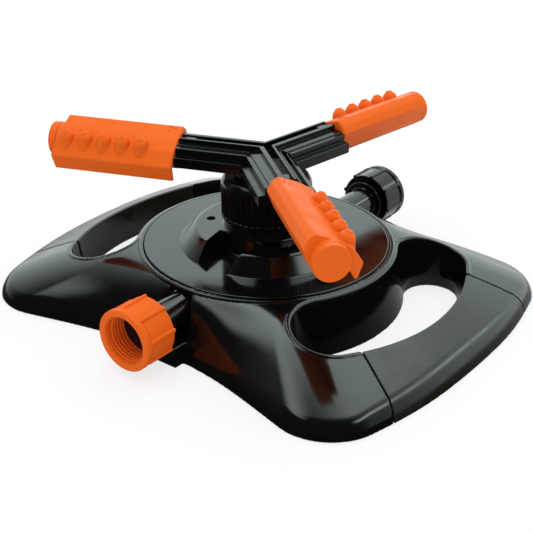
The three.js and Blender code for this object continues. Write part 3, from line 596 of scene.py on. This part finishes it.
# edge on either side of the arm's axis, height at that edge, and slope down to it
ARM_STEPS = [(17.5, 15.3, 88.8, 0.12), (13.6, 11.2, 93.3, 0.08), (10.9, 7.4, 94.3, 0.08)]
LIP_LOW = 5.0
LIP_HIGH = 4.4
LIP_TOP = 97.2
CHANNEL_LOW = 2.1
CHANNEL_HIGH = 2.7
CHANNEL_FLOOR = 91.6
CHANNEL_RUN_OUT = 1.0
ARROW_TOP = 96.5
ARROW_SINK = 1.0
ARROW_TIP = 1.2
ARROW_LENGTH = 9.5
ARROW_HALF = 1.8
ARROW_SLOPE = 0.42
# grooves along one side of the second arm, which leave narrow ribs of its ledges
GROOVED_ARM = ARM_ANGLES[1]
GROOVES = [(4.4, 6.2), (7.4, 10.2), (11.0, 12.4)]
GROOVE_FLOOR = 90.0
GROOVE_BEND = math.tan(math.pi / 6)
HUB_RADIUS = 20.0
HUB_BOTTOM = 79.2
HUB_OVERLAP = 1.0
HUB_EDGE = 1.2
ROTOR_EDGE = 0.3
# a small hole where the channels meet
HOLE_PLACE = (1.2, 0.8)
HOLE_RADIUS = 0.8
HOLE_DEPTH = 1.2
SPIGOT_RADIUS = 7.8
SPIGOT_ROOT = 4.0
SPIGOT_END = 60.0
ROTOR_REACH = 60.5
ROTOR_TOP = 97.5


def in_arm(x, y, angle):
    """Distances along and across an arm."""
    along = x * math.cos(angle) + y * math.sin(angle)
    across = y * math.cos(angle) - x * math.sin(angle)
    return along, across


def rotor_field(x, y, z):
    """Three arms with stepped ledges, a channel between two lips, an arrow and a spigot each."""
    radius = np.hypot(x, y)
    form = np.maximum(meet(radius - HUB_RADIUS, HUB_BOTTOM - z, HUB_EDGE), z - ARM_BOTTOM - HUB_OVERLAP)
    channels = []
    for angle in ARM_ANGLES:
        along, across = in_arm(x, y, angle)
        ends = np.maximum(-along, along - ARM_LENGTH)
        for low, high, top, slope in ARM_STEPS:
            edge = np.maximum(-across - low, across - high)
            roof = z - top + slope * edge
            ledge = meet(np.maximum(edge, ends), np.maximum(roof, ARM_BOTTOM - z), ROTOR_EDGE)
            form = np.minimum(form, ledge)
        lip = np.maximum(np.maximum(-across - LIP_LOW, across - LIP_HIGH), ends)
        form = np.minimum(form, meet(lip, np.maximum(z - LIP_TOP, ARM_BOTTOM - z), ROTOR_EDGE))
        open_ends = np.maximum(-along, along - ARM_LENGTH - CHANNEL_RUN_OUT)
        channel = np.maximum(np.maximum(-across - CHANNEL_LOW, across - CHANNEL_HIGH), open_ends)
        channels.append(np.maximum(channel, CHANNEL_FLOOR - z))
        if angle == GROOVED_ARM:
            bend = across * GROOVE_BEND - along
            for start, end in GROOVES:
                groove = np.maximum(start - across, across - end)
                groove = np.maximum(groove, np.maximum(bend, open_ends))
                channels.append(np.maximum(groove, GROOVE_FLOOR - z))
    form = cut(form, np.minimum.reduce(channels), ROTOR_EDGE)
    hole = np.hypot(x - HOLE_PLACE[0], y - HOLE_PLACE[1]) - HOLE_RADIUS
    form = np.maximum(form, -np.maximum(hole, CHANNEL_FLOOR - HOLE_DEPTH - z))
    for angle in ARM_ANGLES:
        along, across = in_arm(x, y, angle)
        point = np.abs(across) - ARROW_SLOPE * (ARM_LENGTH - ARROW_TIP - along)
        arrow = np.maximum(point, np.abs(across) - ARROW_HALF)
        arrow = np.maximum(arrow, ARM_LENGTH - ARROW_LENGTH - along)
        arrow = meet(arrow, z - ARROW_TOP, ROTOR_EDGE)
        form = np.minimum(form, np.maximum(arrow, CHANNEL_FLOOR - ARROW_SINK - z))
        spigot = np.hypot(across, z - TUBE_HEIGHT) - SPIGOT_RADIUS
        spigot = np.maximum(np.maximum(spigot, along - SPIGOT_END), ARM_LENGTH - SPIGOT_ROOT - along)
        form = np.minimum(form, spigot)
    return form


# ---- the spray sleeves ------------------------------------------------------
# In their own frame: x along the arm, y towards the nozzle domes, z up from the tube's axis.

SLEEVE_START = 53.4
SLEEVE_END_TOP = 128.4
SLEEVE_END_WING = 131.2
SLEEVE_END_FOOT = 129.8
SLEEVE_LOW = (SLEEVE_START, -14, -14)
SLEEVE_HIGH = (SLEEVE_END_WING, 18.5, 14)
SLEEVE_EDGE = 0.5
SLEEVE_MOUTH_EDGE = 1.3
SLEEVE_ROOF = [(-7, 13.4), (4, 9.3), (12.5, 4.2)]
SLEEVE_LEFT = [(-13.3, 5.8), (-10.7, 10.7)]
SLEEVE_TUBE = 10.4
TUBE_ARC = np.radians(np.arange(-8, -165, -8))
SECTION_EDGE = 0.9
WING_BOTTOM = (15.4, -13.4)
WING_TOP = (18.0, -4.0)
WING = 2.0
WING_FOOT_RISE = 0.2
WING_ROOT_IN = 0.6
WING_ROOT_DROP = 0.4
DOME_RADIUS = 4.7
DOME_CENTRE = (11.0, 6.1)
DOME_FIRST = 74.8
DOME_PITCH = 12.0
DOME_COUNT = 5
DOME_FILLET = 0.5
NOZZLE_LEAN = math.radians(72)
NOZZLE_RADIUS = 2.0
NOZZLE_RISE = 0.25
NOZZLE_EDGE = 0.3
SPRAY_HOLE = 0.4
SPRAY_HOLE_START = 3.0
SPRAY_HOLE_EDGE = 0.1
SLEEVE_BORE = 8.1
BORE_MOUTH_EDGE = 0.3
# where the round end behind the plug starts and ends, from the sleeve's end
STUB_START = 6.0
STUB_END = 0.2
CAP_RADIUS = 10.2
CAP_FRONT = 136.3
CAP_CORNER = 0.5
CAP_STEP = 0.3
CAP_SIDE = 4.9
PLUG_RADIUS = 7.6
PLUG_DEPTH = 8.0
# unit normal and distance of the roof that the marks stand on
ROOF = (0.349, 0.937, 10.11)


def sleeve_outline():
    """The sleeve's section: roof, wing, tube and left side."""
    wing = [
        WING_TOP,
        WING_BOTTOM,
        (WING_BOTTOM[0] - WING, WING_BOTTOM[1] + WING_FOOT_RISE),
        (WING_TOP[0] - WING - WING_ROOT_IN, WING_TOP[1] - WING_ROOT_DROP),
    ]
    tube = [(SLEEVE_TUBE * math.cos(a), SLEEVE_TUBE * math.sin(a)) for a in TUBE_ARC]
    return rounded([*SLEEVE_ROOF, *wing, *tube, *SLEEVE_LEFT], SECTION_EDGE)


SLEEVE_OUTLINE = sleeve_outline()
END_WALL = np.array([(2, 2), (9.4, -5.8), (13.6, -12.2), (15.6, -12.4), (17.6, -4), (12.5, 4)], float)
END_WALL_THICKNESS = 2.2
MARKS = [(58.0, -4.2), (61.6, -1.6), (61.2, -5.4)]
# half sizes of a mark, and its slant
MARK_LENGTH = 1.1
MARK_WIDTH = 0.42
MARK_HEIGHT = 0.4
MARK_SLANT = 0.5


def sleeve_field(x, y, z):
    """A sleeve with its wing, end wall, marks and row of nozzle domes."""
    section = outline_field(y, z, SLEEVE_OUTLINE)
    lean_top = (SLEEVE_END_WING - SLEEVE_END_TOP) / (SLEEVE_ROOF[0][1] - WING_TOP[1])
    lean_foot = (SLEEVE_END_WING - SLEEVE_END_FOOT) / (WING_TOP[1] - WING_BOTTOM[1])
    end = np.maximum(
        x - SLEEVE_END_WING + lean_top * (z - WING_TOP[1]),
        x - SLEEVE_END_WING - lean_foot * (z - WING_TOP[1]),
    )
    wall = np.maximum(outline_field(y, z, END_WALL), SLEEVE_END_WING - END_WALL_THICKNESS - x)
    form = meet(meet(np.minimum(section, wall), end, SLEEVE_EDGE), SLEEVE_START - x, SLEEVE_MOUTH_EDGE)
    roof = y * ROOF[0] + z * ROOF[1] - ROOF[2]
    for mark_x, mark_y in MARKS:
        slanted = np.abs(y - mark_y + MARK_SLANT * (x - mark_x)) - MARK_WIDTH
        mark = np.maximum(np.abs(x - mark_x) - MARK_LENGTH, slanted)
        form = np.minimum(form, np.maximum(mark, np.abs(roof) - MARK_HEIGHT))
    nearest = np.clip(np.round((x - DOME_FIRST) / DOME_PITCH), 0, DOME_COUNT - 1)
    along = x - DOME_FIRST - nearest * DOME_PITCH
    out_y = y - DOME_CENTRE[0]
    pod = np.sqrt(along**2 + out_y**2 + np.maximum(z - DOME_CENTRE[1], 0) ** 2) - DOME_RADIUS
    form = union(form, np.maximum(pod, -z), DOME_FILLET)
    lean = (math.cos(NOZZLE_LEAN), math.sin(NOZZLE_LEAN))
    depth = out_y * lean[0] + (z - DOME_CENTRE[1]) * lean[1]
    side = np.hypot(along, out_y * lean[1] - (z - DOME_CENTRE[1]) * lean[0])
    nozzle = meet(side - NOZZLE_RADIUS, depth - DOME_RADIUS - NOZZLE_RISE, NOZZLE_EDGE)
    form = union(form, np.maximum(nozzle, -depth), DOME_FILLET)
    form = cut(form, np.maximum(side - SPRAY_HOLE, SPRAY_HOLE_START - depth), SPRAY_HOLE_EDGE)
    tube = np.hypot(y, z)
    stub_ends = np.maximum(x - SLEEVE_END_WING - STUB_END, SLEEVE_END_TOP - STUB_START - x)
    form = np.minimum(form, np.maximum(tube - CAP_RADIUS, stub_ends))
    return cut(form, tube - SLEEVE_BORE, BORE_MOUTH_EDGE)


# ---- hose fittings ----------------------------------------------------------
# In their own frame: z outwards along the hose line, from the end by the base.

RIBS = 8
RIB_HALF = 1.1
RIB_TURN = math.radians(12)
RIB_RADIUS = 18.7
RIB_EDGE = 0.6
RIB_END_EDGE = 0.8
RIB_FILLET = 0.4
BARREL_RADIUS = 17.4
BACK_EDGE = 1.0
RING_RADIUS = 18.3
RING_LENGTH = 4.4
RING_EDGE = 0.9
RING_OVERLAP = 1.0
RING_TUCK = 1.5
# how far in and back the ring's sloping shoulder starts, and where it ends
SHOULDER_IN = 0.5
SHOULDER_BACK = 1.2
SHOULDER_ON = 1.0
FITTING_REACH = 19.0
INLET_LOW, INLET_HIGH = size_of("inlet_coupling")
CAP_LOW, CAP_HIGH = size_of("outlet_cap")
INLET_LENGTH = INLET_HIGH[1] - INLET_LOW[1]
CAP_LENGTH = CAP_HIGH[1] - CAP_LOW[1]
SOCKET = 13.1
SOCKET_FLOOR = 3.0
SOCKET_EDGE = 0.5
MOUTH_DEPTH = 2.0
MOUTH_FLARE = (0.2, 1.4)
MOUTH_EDGE = 0.3
NECK_GAP = 0.45
CAP_BORE = 13.5
CAP_WALL = 3.0
THREAD_PITCH = 2.21
THREAD_DEPTH = 0.8
THREAD_CREST = 1.6
THREAD_FLANK = 5.0
THREAD_ROOT = 0.6
THREAD_START = 8.0
THREAD_STOP = 3.2
THREAD_FADE = 0.8


def barrel(x, y, z, length):
    """A round body with ribs along it that run into a plain ring at the outer end."""
    radius = np.hypot(x, y)
    sector = 2 * math.pi / RIBS
    turn = np.mod(np.arctan2(y, x) + RIB_TURN, sector) - sector / 2
    body = meet(meet(radius - BARREL_RADIUS, -z, BACK_EDGE), z - length + RING_OVERLAP, 0)
    rib = meet(np.abs(radius * np.sin(turn)) - RIB_HALF, radius * np.cos(turn) - RIB_RADIUS, RIB_EDGE)
    rib = meet(meet(rib, -z, RIB_END_EDGE), z - length + RING_LENGTH - RING_OVERLAP, BACK_EDGE)
    ring_start = length - RING_LENGTH
    shoulder_start = (BARREL_RADIUS - SHOULDER_IN, ring_start - SHOULDER_BACK)
    ring = frustum(radius, z, shoulder_start, (RING_RADIUS, ring_start + SHOULDER_ON))
    ring = meet(np.maximum(radius - RING_RADIUS, ring), z - length, RING_EDGE)
    form = union(body, np.maximum(ring, ring_start - RING_TUCK - z), RIB_FILLET)
    return union(form, rib, RIB_FILLET)


def thread_ridge(along, u, v):
    """Height of a screw thread's ridge, where u and v are across its axis."""
    phase = np.mod(along / THREAD_PITCH + np.arctan2(v, u) / (2 * math.pi), 1)
    return THREAD_DEPTH * np.clip(THREAD_CREST - np.abs(phase - 0.5) * THREAD_FLANK, 0, 1)


def coupling_field(x, y, z):
    """The hose coupling, open outwards, with its thread inside."""
    form = barrel(x, y, z, INLET_LENGTH)
    radius = np.hypot(x, y)
    fade = np.clip((INLET_LENGTH - THREAD_STOP - z) / THREAD_FADE, 0, 1)
    ridge = thread_ridge(z, x, y) * fade * (z > THREAD_START)
    socket = np.maximum(radius - SOCKET - THREAD_ROOT + ridge, SOCKET_FLOOR - z)
    mouth_start = INLET_LENGTH - MOUTH_DEPTH
    inner, outer = MOUTH_FLARE
    mouth = frustum(radius, z, (SOCKET + inner, mouth_start), (SOCKET + outer, INLET_LENGTH))
    form = cut(form, np.maximum(mouth, mouth_start - z), MOUTH_EDGE)
    return cut(cut(form, socket, SOCKET_EDGE), radius - PIPE - NECK_GAP, MOUTH_EDGE)


def cap_field(x, y, z):
    """The outlet's cap, open towards the base and closed at its outer end."""
    form = barrel(x, y, z, CAP_LENGTH)
    radius = np.hypot(x, y)
    return cut(form, np.maximum(radius - CAP_BORE, z - CAP_LENGTH + CAP_WALL), SOCKET_EDGE)


TEE_LOW, TEE_HIGH = size_of("water_tee")
PIPE_BORE = 7.0
PIPE_TUCK = 2.0
FLANGE = 13.4
FLANGE_HALF = 1.3
FLANGE_EDGE = 0.4
STOP = 13.8
STOP_BACK = 2.0
STOP_HALF = 1.7
STOP_EDGE = 0.6
STOP_FILLET = 1.2
OUTLET_THREAD = 12.3
OUTLET_OVERLAP = 1.0
OUTLET_EDGE = 0.5
RISER = 16.0
RISER_EDGE = 0.4
RISER_FILLET = 1.0
RISER_WATERWAY = 8.0
PIPE_EDGE = 0.4
WATERWAY_EDGE = 0.3


def tee_field(x, y, z):
    """The water pipe through the base, with its flange, the collar that the cap stops at, and the riser."""
    across = np.hypot(x, z - HOSE_HEIGHT)
    ends = np.maximum(TEE_LOW[1] + PIPE_TUCK - y, y - CAP_LOW[1] + OUTLET_OVERLAP)
    form = np.maximum(across - PIPE, ends)
    flange = meet(across - FLANGE, np.abs(y - TEE_LOW[1] - FLANGE_HALF) - FLANGE_HALF, FLANGE_EDGE)
    form = union(form, flange, FLANGE_EDGE)
    stop = meet(across - STOP, np.abs(y - CAP_LOW[1] + STOP_BACK) - STOP_HALF, STOP_EDGE)
    form = union(form, stop, STOP_FILLET)
    thread = OUTLET_THREAD + thread_ridge(y, x, z - HOSE_HEIGHT)
    ends = np.maximum(y - TEE_HIGH[1], CAP_LOW[1] - OUTLET_OVERLAP - y)
    form = np.minimum(form, meet(across - thread, ends, OUTLET_EDGE))
    riser = meet(np.hypot(x, y) - RISER, z - TEE_HIGH[2], RISER_EDGE)
    form = union(form, np.maximum(riser, HOSE_HEIGHT - z), RISER_FILLET)
    form = cut(form, across - PIPE_BORE, PIPE_EDGE)
    waterway = np.maximum(np.hypot(x, y) - RISER_WATERWAY, HOSE_HEIGHT - z)
    return cut(form, waterway, WATERWAY_EDGE)


# ---- materials --------------------------------------------------------------

# lowest and highest noise that a roughness is spread over
NOISE_SPREAD = (0.3, 0.7)
CLOUD_SCALE = 28.0
CLOUD_DETAIL = 4.0
RUB_SCALE = 80.0
RUB_DETAIL = 8.0
GRAIN_DETAIL = 3.0
GRAIN_HEIGHT = 0.0002
POLISH = 0.8
STEEL_GRAIN_SCALE = 700.0
STEEL_ROUGHNESS = (0.2, 0.45)


def plastic(name, colour, roughness, grain, grain_scale=900.0, mottle=0.12, specular=0.5, wear=1.25):
    """Moulded plastic with an uneven colour and a fine grain, and rubbed places that are duller by wear."""
    made = bpy.data.materials.new(name)
    made.use_nodes = True
    nodes, links = made.node_tree.nodes, made.node_tree.links
    shader = nodes["Principled BSDF"]
    shader.inputs["Specular IOR Level"].default_value = specular
    position = nodes.new("ShaderNodeTexCoord")

    def noise(scale, detail):
        made_noise = nodes.new("ShaderNodeTexNoise")
        made_noise.inputs["Scale"].default_value = scale
        made_noise.inputs["Detail"].default_value = detail
        links.new(position.outputs["Object"], made_noise.inputs["Vector"])
        return made_noise

    def ramp(source, low, high):
        made_ramp = nodes.new("ShaderNodeMapRange")
        made_ramp.inputs["From Min"].default_value = NOISE_SPREAD[0]
        made_ramp.inputs["From Max"].default_value = NOISE_SPREAD[1]
        made_ramp.inputs["To Min"].default_value = low
        made_ramp.inputs["To Max"].default_value = high
        links.new(source, made_ramp.inputs["Value"])
        return made_ramp

    cloud = noise(CLOUD_SCALE, CLOUD_DETAIL)
    shade = nodes.new("ShaderNodeMix")
    shade.data_type = "RGBA"
    shade.inputs["A"].default_value = [*(c * (1 - mottle) for c in colour), 1]
    shade.inputs["B"].default_value = [*(min(1, c * (1 + mottle)) for c in colour), 1]
    links.new(cloud.outputs["Fac"], shade.inputs["Factor"])
    links.new(shade.outputs["Result"], shader.inputs["Base Color"])
    rubbed = noise(RUB_SCALE, RUB_DETAIL)
    gloss = ramp(rubbed.outputs["Fac"], roughness * POLISH, roughness * wear)
    links.new(gloss.outputs["Result"], shader.inputs["Roughness"])
    bump = nodes.new("ShaderNodeBump")
    bump.inputs["Strength"].default_value = grain
    bump.inputs["Distance"].default_value = GRAIN_HEIGHT
    links.new(noise(grain_scale, GRAIN_DETAIL).outputs["Fac"], bump.inputs["Height"])
    links.new(bump.outputs["Normal"], shader.inputs["Normal"])
    return made


def linear(*srgb):
    """A colour written in 0 to 255 as a screen shows it."""
    return [((c / 255 + 0.055) / 1.055) ** 2.4 if c > 10 else c / 255 / 12.92 for c in srgb]


GLOSS = plastic("black_gloss", linear(9, 9, 8), 0.08, grain=0.03, grain_scale=220.0, wear=2.2)
GRIP = plastic(
    "grip_black", linear(24, 25, 20), 0.15, grain=0.05, grain_scale=500.0, specular=0.42, wear=2.0)
SATIN = plastic("black_satin", linear(8, 8, 8), 0.14, grain=0.05, specular=0.32)
ORANGE = plastic("orange", linear(230, 100, 26), 0.42, grain=0.06, mottle=0.03, specular=0.1)
WHITE = plastic("white_plastic", linear(218, 218, 210), 0.4, grain=0.05)
RUBBER = plastic("rubber", linear(24, 24, 26), 0.6, grain=0.15)


def steel(name):
    made = bpy.data.materials.new(name)
    made.use_nodes = True
    nodes, links = made.node_tree.nodes, made.node_tree.links
    shader = nodes["Principled BSDF"]
    shader.inputs["Metallic"].default_value = 1.0
    shader.inputs["Base Color"].default_value = [*linear(184, 187, 190), 1]
    position = nodes.new("ShaderNodeTexCoord")
    noise = nodes.new("ShaderNodeTexNoise")
    noise.inputs["Scale"].default_value = STEEL_GRAIN_SCALE
    links.new(position.outputs["Object"], noise.inputs["Vector"])
    spread = nodes.new("ShaderNodeMapRange")
    spread.inputs["To Min"].default_value = STEEL_ROUGHNESS[0]
    spread.inputs["To Max"].default_value = STEEL_ROUGHNESS[1]
    links.new(noise.outputs["Fac"], spread.inputs["Value"])
    links.new(spread.outputs["Result"], shader.inputs["Roughness"])
    return made


STEEL = steel("steel")
FINISH = {
    "black_gloss": GLOSS, "grip_black": GRIP, "black_satin": SATIN, "orange": ORANGE,
    "white_plastic": WHITE, "rubber": RUBBER, "steel": STEEL,
}

for part in frame["record"]["subparts"]:
    slots = frame["nodes"][part["node"]].data.materials
    slots.clear()
    slots.append(FINISH[part["material_slot"]])


# ---- pieces -----------------------------------------------------------------

CELL = 0.9


def place(piece, body, slot, *nodes):
    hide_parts(*nodes)
    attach(piece, body)


base = skin("base_shell", base_field, BASE_LOW, BASE_HIGH, CELL, GLOSS, keep=0.35)
place(base, "base", "black_gloss", "base_body")

grip_low, grip_high = size_of("grip_right")
grip = skin("grip_cover_right", grip_field, grip_low, grip_high, CELL * 0.8, GRIP, keep=0.45)
other = grip.copy()
other.name = "grip_cover_left"
other.rotation_euler.z = math.pi
bpy.context.scene.collection.objects.link(other)
place(grip, "base", "grip_black", "grip_right")
place(other, "base", "grip_black", "grip_left")

cover_low, cover_high = size_of("top_cover")
cover = skin("turret_cover", cover_field, cover_low, cover_high, CELL * 0.72, GLOSS, keep=0.4)
place(cover, "base", "black_gloss", "top_cover")

nut_reach = NUT_RADIUS + NUT_MARGIN
nut_low = (-nut_reach, -nut_reach, NUT_BOTTOM)
nut_high = (nut_reach, nut_reach, NUT_TOP)
nut = skin("fluted_nut", nut_field, nut_low, nut_high, CELL * 0.5, SATIN, keep=0.6)
place(nut, "base", "black_satin", "retaining_nut")

rotor_low = (-ROTOR_REACH, -ROTOR_REACH, HUB_BOTTOM)
rotor_high = (ROTOR_REACH, ROTOR_REACH, ROTOR_TOP)
rotor = skin("rotor_manifold", rotor_field, rotor_low, rotor_high, CELL * 0.42, SATIN, keep=0.3)
place(rotor, "rotor", "black_satin", "rotor_arms")

sleeve = skin(
    "spray_sleeve_body_1", sleeve_field, SLEEVE_LOW, SLEEVE_HIGH, CELL * 0.5, ORANGE, keep=0.4)
plug_front = CAP_FRONT - SLEEVE_END_WING
plug_profile = [
    (0, -PLUG_DEPTH),
    (PLUG_RADIUS, -PLUG_DEPTH),
    (PLUG_RADIUS, CAP_STEP),
    (CAP_RADIUS, CAP_STEP),
    (CAP_RADIUS, CAP_SIDE),
    (CAP_RADIUS - CAP_CORNER, plug_front),
    (0, plug_front),
]
along_arm = Matrix.Translation((SLEEVE_END_WING * MM, 0, 0)) @ Matrix.Rotation(math.pi / 2, 4, "Y")
plug = revolve("sleeve_plug_1", plug_profile, CAP_CORNER, ORANGE, turn=along_arm)

for number, angle in enumerate(ARM_ANGLES, 1):
    for first in (sleeve, plug):
        piece = first
        if number > 1:
            piece = first.copy()
            piece.name = first.name[:-1] + str(number)
            bpy.context.scene.collection.objects.link(piece)
        piece.location = (0, 0, TUBE_HEIGHT * MM)
        piece.rotation_euler = (0, 0, angle)

for number, angle in enumerate(ARM_ANGLES, 1):
    for stem, cad in (("spray_sleeve_body_", "spray_sleeve_"), ("sleeve_plug_", "end_cap_")):
        place(bpy.data.objects[f"{stem}{number}"], f"nozzle_{number}", "orange", f"{cad}{number}")


def hose_fitting(name, field, length, material):
    low, high = (-FITTING_REACH, -FITTING_REACH, 0), (FITTING_REACH, FITTING_REACH, length)
    return skin(name, field, low, high, CELL * 0.45, material, keep=0.4)


coupling = hose_fitting("hose_coupling_body", coupling_field, INLET_LENGTH, ORANGE)
coupling.location = (0, INLET_HIGH[1] * MM, HOSE_HEIGHT * MM)
coupling.rotation_euler.x = math.pi / 2
place(coupling, "hose_coupling", "orange", "inlet_coupling")

tee = skin("water_pipe", tee_field, TEE_LOW, TEE_HIGH, CELL * 0.62, GLOSS, keep=0.3)
place(tee, "base", "black_gloss", "water_tee")

cap = hose_fitting("outlet_cap_body", cap_field, CAP_LENGTH, SATIN)
cap.location = (0, CAP_LOW[1] * MM, HOSE_HEIGHT * MM)
cap.rotation_euler.x = -math.pi / 2
place(cap, "screw_cap", "black_satin", "outlet_cap")


# ---- studio -----------------------------------------------------------------

CAMERA_AZIMUTH = math.radians(38.03)
CAMERA_ELEVATION = math.radians(27.55)
CAMERA_DISTANCE = 0.726
CAMERA_TARGET = Vector((0, 0, 0.01673))
CAMERA_LENS = 79.36
AMBIENT = 0.85
OVERHEAD_RADIANCE = 1.0
OVERHEAD_SIZE = (1.4, 1.8)
OVERHEAD_PLACE = (0, 0.2, 1.2)
OVERHEAD_TINT = (0.96, 0.99, 1.0)
MIRRORED_TINT = (0.85, 1.0, 0.97, 1)
WHITE_SIDE = (-0.31, 0.95, 0.0)
# how far towards the white side the rise starts and ends, and the strengths there
SKY_RISE = (-0.35, 0.9, 0.03, 1.8)
FLOOR_RISE = (-0.1, 0.25, 0.02, 1.1)
LEAST_HEIGHT = 0.02
# where each stands over X and Y for every unit of height, its half sizes, soft edge and strength
SOFT_BOXES = [
    ((-0.5, -0.13), (0.18, 0.6), 0.16, 2.8),
    ((0.0, 0.55), (0.32, 0.4), 0.25, 1.9),
    ((1.03, 1.2), (0.17, 1.2), 0.12, 4.2),
]
FLOOR_HALF = 6.0
FLOOR_WHITE = 0.75
FLOOR_DROP = 0.0004


def aim(thing, place_at, target):
    thing.location = place_at
    thing.rotation_euler = (Vector(target) - Vector(place_at)).to_track_quat("-Z", "Y").to_euler()


def camera():
    data = bpy.data.cameras.new("camera")
    data.sensor_width = 36.0
    data.lens = CAMERA_LENS
    made = bpy.data.objects.new("camera", data)
    bpy.context.scene.collection.objects.link(made)
    back = Vector((
        math.sin(CAMERA_AZIMUTH) * math.cos(CAMERA_ELEVATION),
        -math.cos(CAMERA_AZIMUTH) * math.cos(CAMERA_ELEVATION),
        math.sin(CAMERA_ELEVATION),
    ))
    aim(made, CAMERA_TARGET + back * CAMERA_DISTANCE, CAMERA_TARGET)
    bpy.context.scene.camera = made


def overhead_light():
    """A broad soft light from above, which the gloss doesn't mirror."""
    data = bpy.data.lights.new("overhead", "AREA")
    data.shape = "RECTANGLE"
    data.size, data.size_y = OVERHEAD_SIZE
    data.energy = OVERHEAD_RADIANCE * data.size * data.size_y * math.pi
    data.color = OVERHEAD_TINT
    made = bpy.data.objects.new("overhead", data)
    bpy.context.scene.collection.objects.link(made)
    made.visible_glossy = False
    made.location = OVERHEAD_PLACE


def seen_rays(nodes, links, *kinds):
    """1 for the kinds of ray that show the surround, 0 for the light that falls on the object."""
    path = nodes.new("ShaderNodeLightPath")
    total = path.outputs[kinds[0]]
    for kind in kinds[1:]:
        either = nodes.new("ShaderNodeMath")
        either.operation = "MAXIMUM"
        links.new(total, either.inputs[0])
        links.new(path.outputs[kind], either.inputs[1])
        total = either.outputs[0]
    return total


def toward_white(nodes, links, vector, start, end, low, high):
    """Rises smoothly from low to high towards the studio's white side."""
    facing = nodes.new("ShaderNodeVectorMath")
    facing.operation = "DOT_PRODUCT"
    facing.inputs[1].default_value = WHITE_SIDE
    links.new(vector, facing.inputs[0])
    spread = nodes.new("ShaderNodeMapRange")
    spread.interpolation_type = "SMOOTHSTEP"
    spread.inputs["From Min"].default_value = start
    spread.inputs["From Max"].default_value = end
    spread.inputs["To Min"].default_value = low
    spread.inputs["To Max"].default_value = high
    links.new(facing.outputs["Value"], spread.inputs["Value"])
    return spread


def soft_boxes(nodes, links, direction, total):
    """Adds the soft boxes overhead, which the gloss mirrors, to a strength."""

    def calculate(operation, *values):
        made = nodes.new("ShaderNodeMath")
        made.operation = operation
        for socket, value in zip(made.inputs, values):
            if isinstance(value, (int, float)):
                socket.default_value = value
            else:
                links.new(value, socket)
        return made.outputs[0]

    axes = nodes.new("ShaderNodeSeparateXYZ")
    links.new(direction, axes.inputs[0])
    up = calculate("MAXIMUM", axes.outputs["Z"], LEAST_HEIGHT)
    for middle, half, edge, strength in SOFT_BOXES:
        share = strength
        for axis in (0, 1):
            spot = calculate("DIVIDE", axes.outputs[axis], up)
            off = calculate("ABSOLUTE", calculate("SUBTRACT", spot, middle[axis]))
            inside = nodes.new("ShaderNodeMapRange")
            inside.interpolation_type = "SMOOTHSTEP"
            inside.inputs["From Min"].default_value = half[axis] + edge
            inside.inputs["From Max"].default_value = half[axis] - edge
            links.new(off, inside.inputs["Value"])
            share = calculate("MULTIPLY", inside.outputs["Result"], share)
        total = calculate("ADD", total, share)
    return total


def background():
    """White to the camera. Reflections show a white side, a dark front and soft boxes above."""
    world = bpy.data.worlds.new("studio")
    bpy.context.scene.world = world
    world.use_nodes = True
    nodes, links = world.node_tree.nodes, world.node_tree.links
    nodes.clear()

    def sky(strength, colour=(1, 1, 1, 1)):
        made = nodes.new("ShaderNodeBackground")
        made.inputs["Color"].default_value = colour
        made.inputs["Strength"].default_value = strength
        return made

    def mix(factor, first, second):
        made = nodes.new("ShaderNodeMixShader")
        links.new(factor, made.inputs[0])
        links.new(first.outputs[0], made.inputs[1])
        links.new(second.outputs[0], made.inputs[2])
        return made

    direction = nodes.new("ShaderNodeTexCoord")
    spread = toward_white(nodes, links, direction.outputs["Generated"], *SKY_RISE)
    mirrored = sky(1.0, MIRRORED_TINT)
    total = soft_boxes(nodes, links, direction.outputs["Generated"], spread.outputs["Result"])
    links.new(total, mirrored.inputs["Strength"])
    glossy = mix(seen_rays(nodes, links, "Is Glossy Ray"), sky(AMBIENT), mirrored)
    white = mix(seen_rays(nodes, links, "Is Camera Ray", "Is Transmission Ray"), glossy, sky(1.0))
    out = nodes.new("ShaderNodeOutputWorld")
    links.new(white.outputs[0], out.inputs["Surface"])


def floor():
    mesh = bpy.data.meshes.new("floor")
    corners = [(sx * FLOOR_HALF, sy * FLOOR_HALF, 0) for sx, sy in ((-1, -1), (1, -1), (1, 1), (-1, 1))]
    mesh.from_pydata(corners, [], [(0, 1, 2, 3)])
    made = bpy.data.materials.new("floor")
    made.use_nodes = True
    nodes, links = made.node_tree.nodes, made.node_tree.links
    shader = nodes["Principled BSDF"]
    shader.inputs["Base Color"].default_value = (0.9, 0.9, 0.9, 1)
    shader.inputs["Roughness"].default_value = 0.9

    def mix(factor, first, second):
        blend = nodes.new("ShaderNodeMixShader")
        links.new(factor, blend.inputs[0])
        links.new(first, blend.inputs[1])
        links.new(second, blend.inputs[2])
        return blend.outputs[0]

    share = nodes.new("ShaderNodeMath")
    share.operation = "MULTIPLY"
    share.inputs[1].default_value = FLOOR_WHITE
    links.new(seen_rays(nodes, links, "Is Camera Ray", "Is Transmission Ray"), share.inputs[0])
    white = nodes.new("ShaderNodeEmission")
    mirrored = nodes.new("ShaderNodeEmission")
    position = nodes.new("ShaderNodeTexCoord")
    spread = toward_white(nodes, links, position.outputs["Object"], *FLOOR_RISE)
    links.new(spread.outputs["Result"], mirrored.inputs["Strength"])
    seen = mix(share.outputs[0], shader.outputs[0], white.outputs[0])
    seen = mix(seen_rays(nodes, links, "Is Glossy Ray"), seen, mirrored.outputs[0])
    links.new(seen, nodes["Material Output"].inputs["Surface"])
    sheet = new_object("floor", mesh, made)
    sheet.location.z = -FLOOR_DROP


camera()
background()
floor()
overhead_light()
bpy.context.scene.view_settings.view_transform = "Standard"
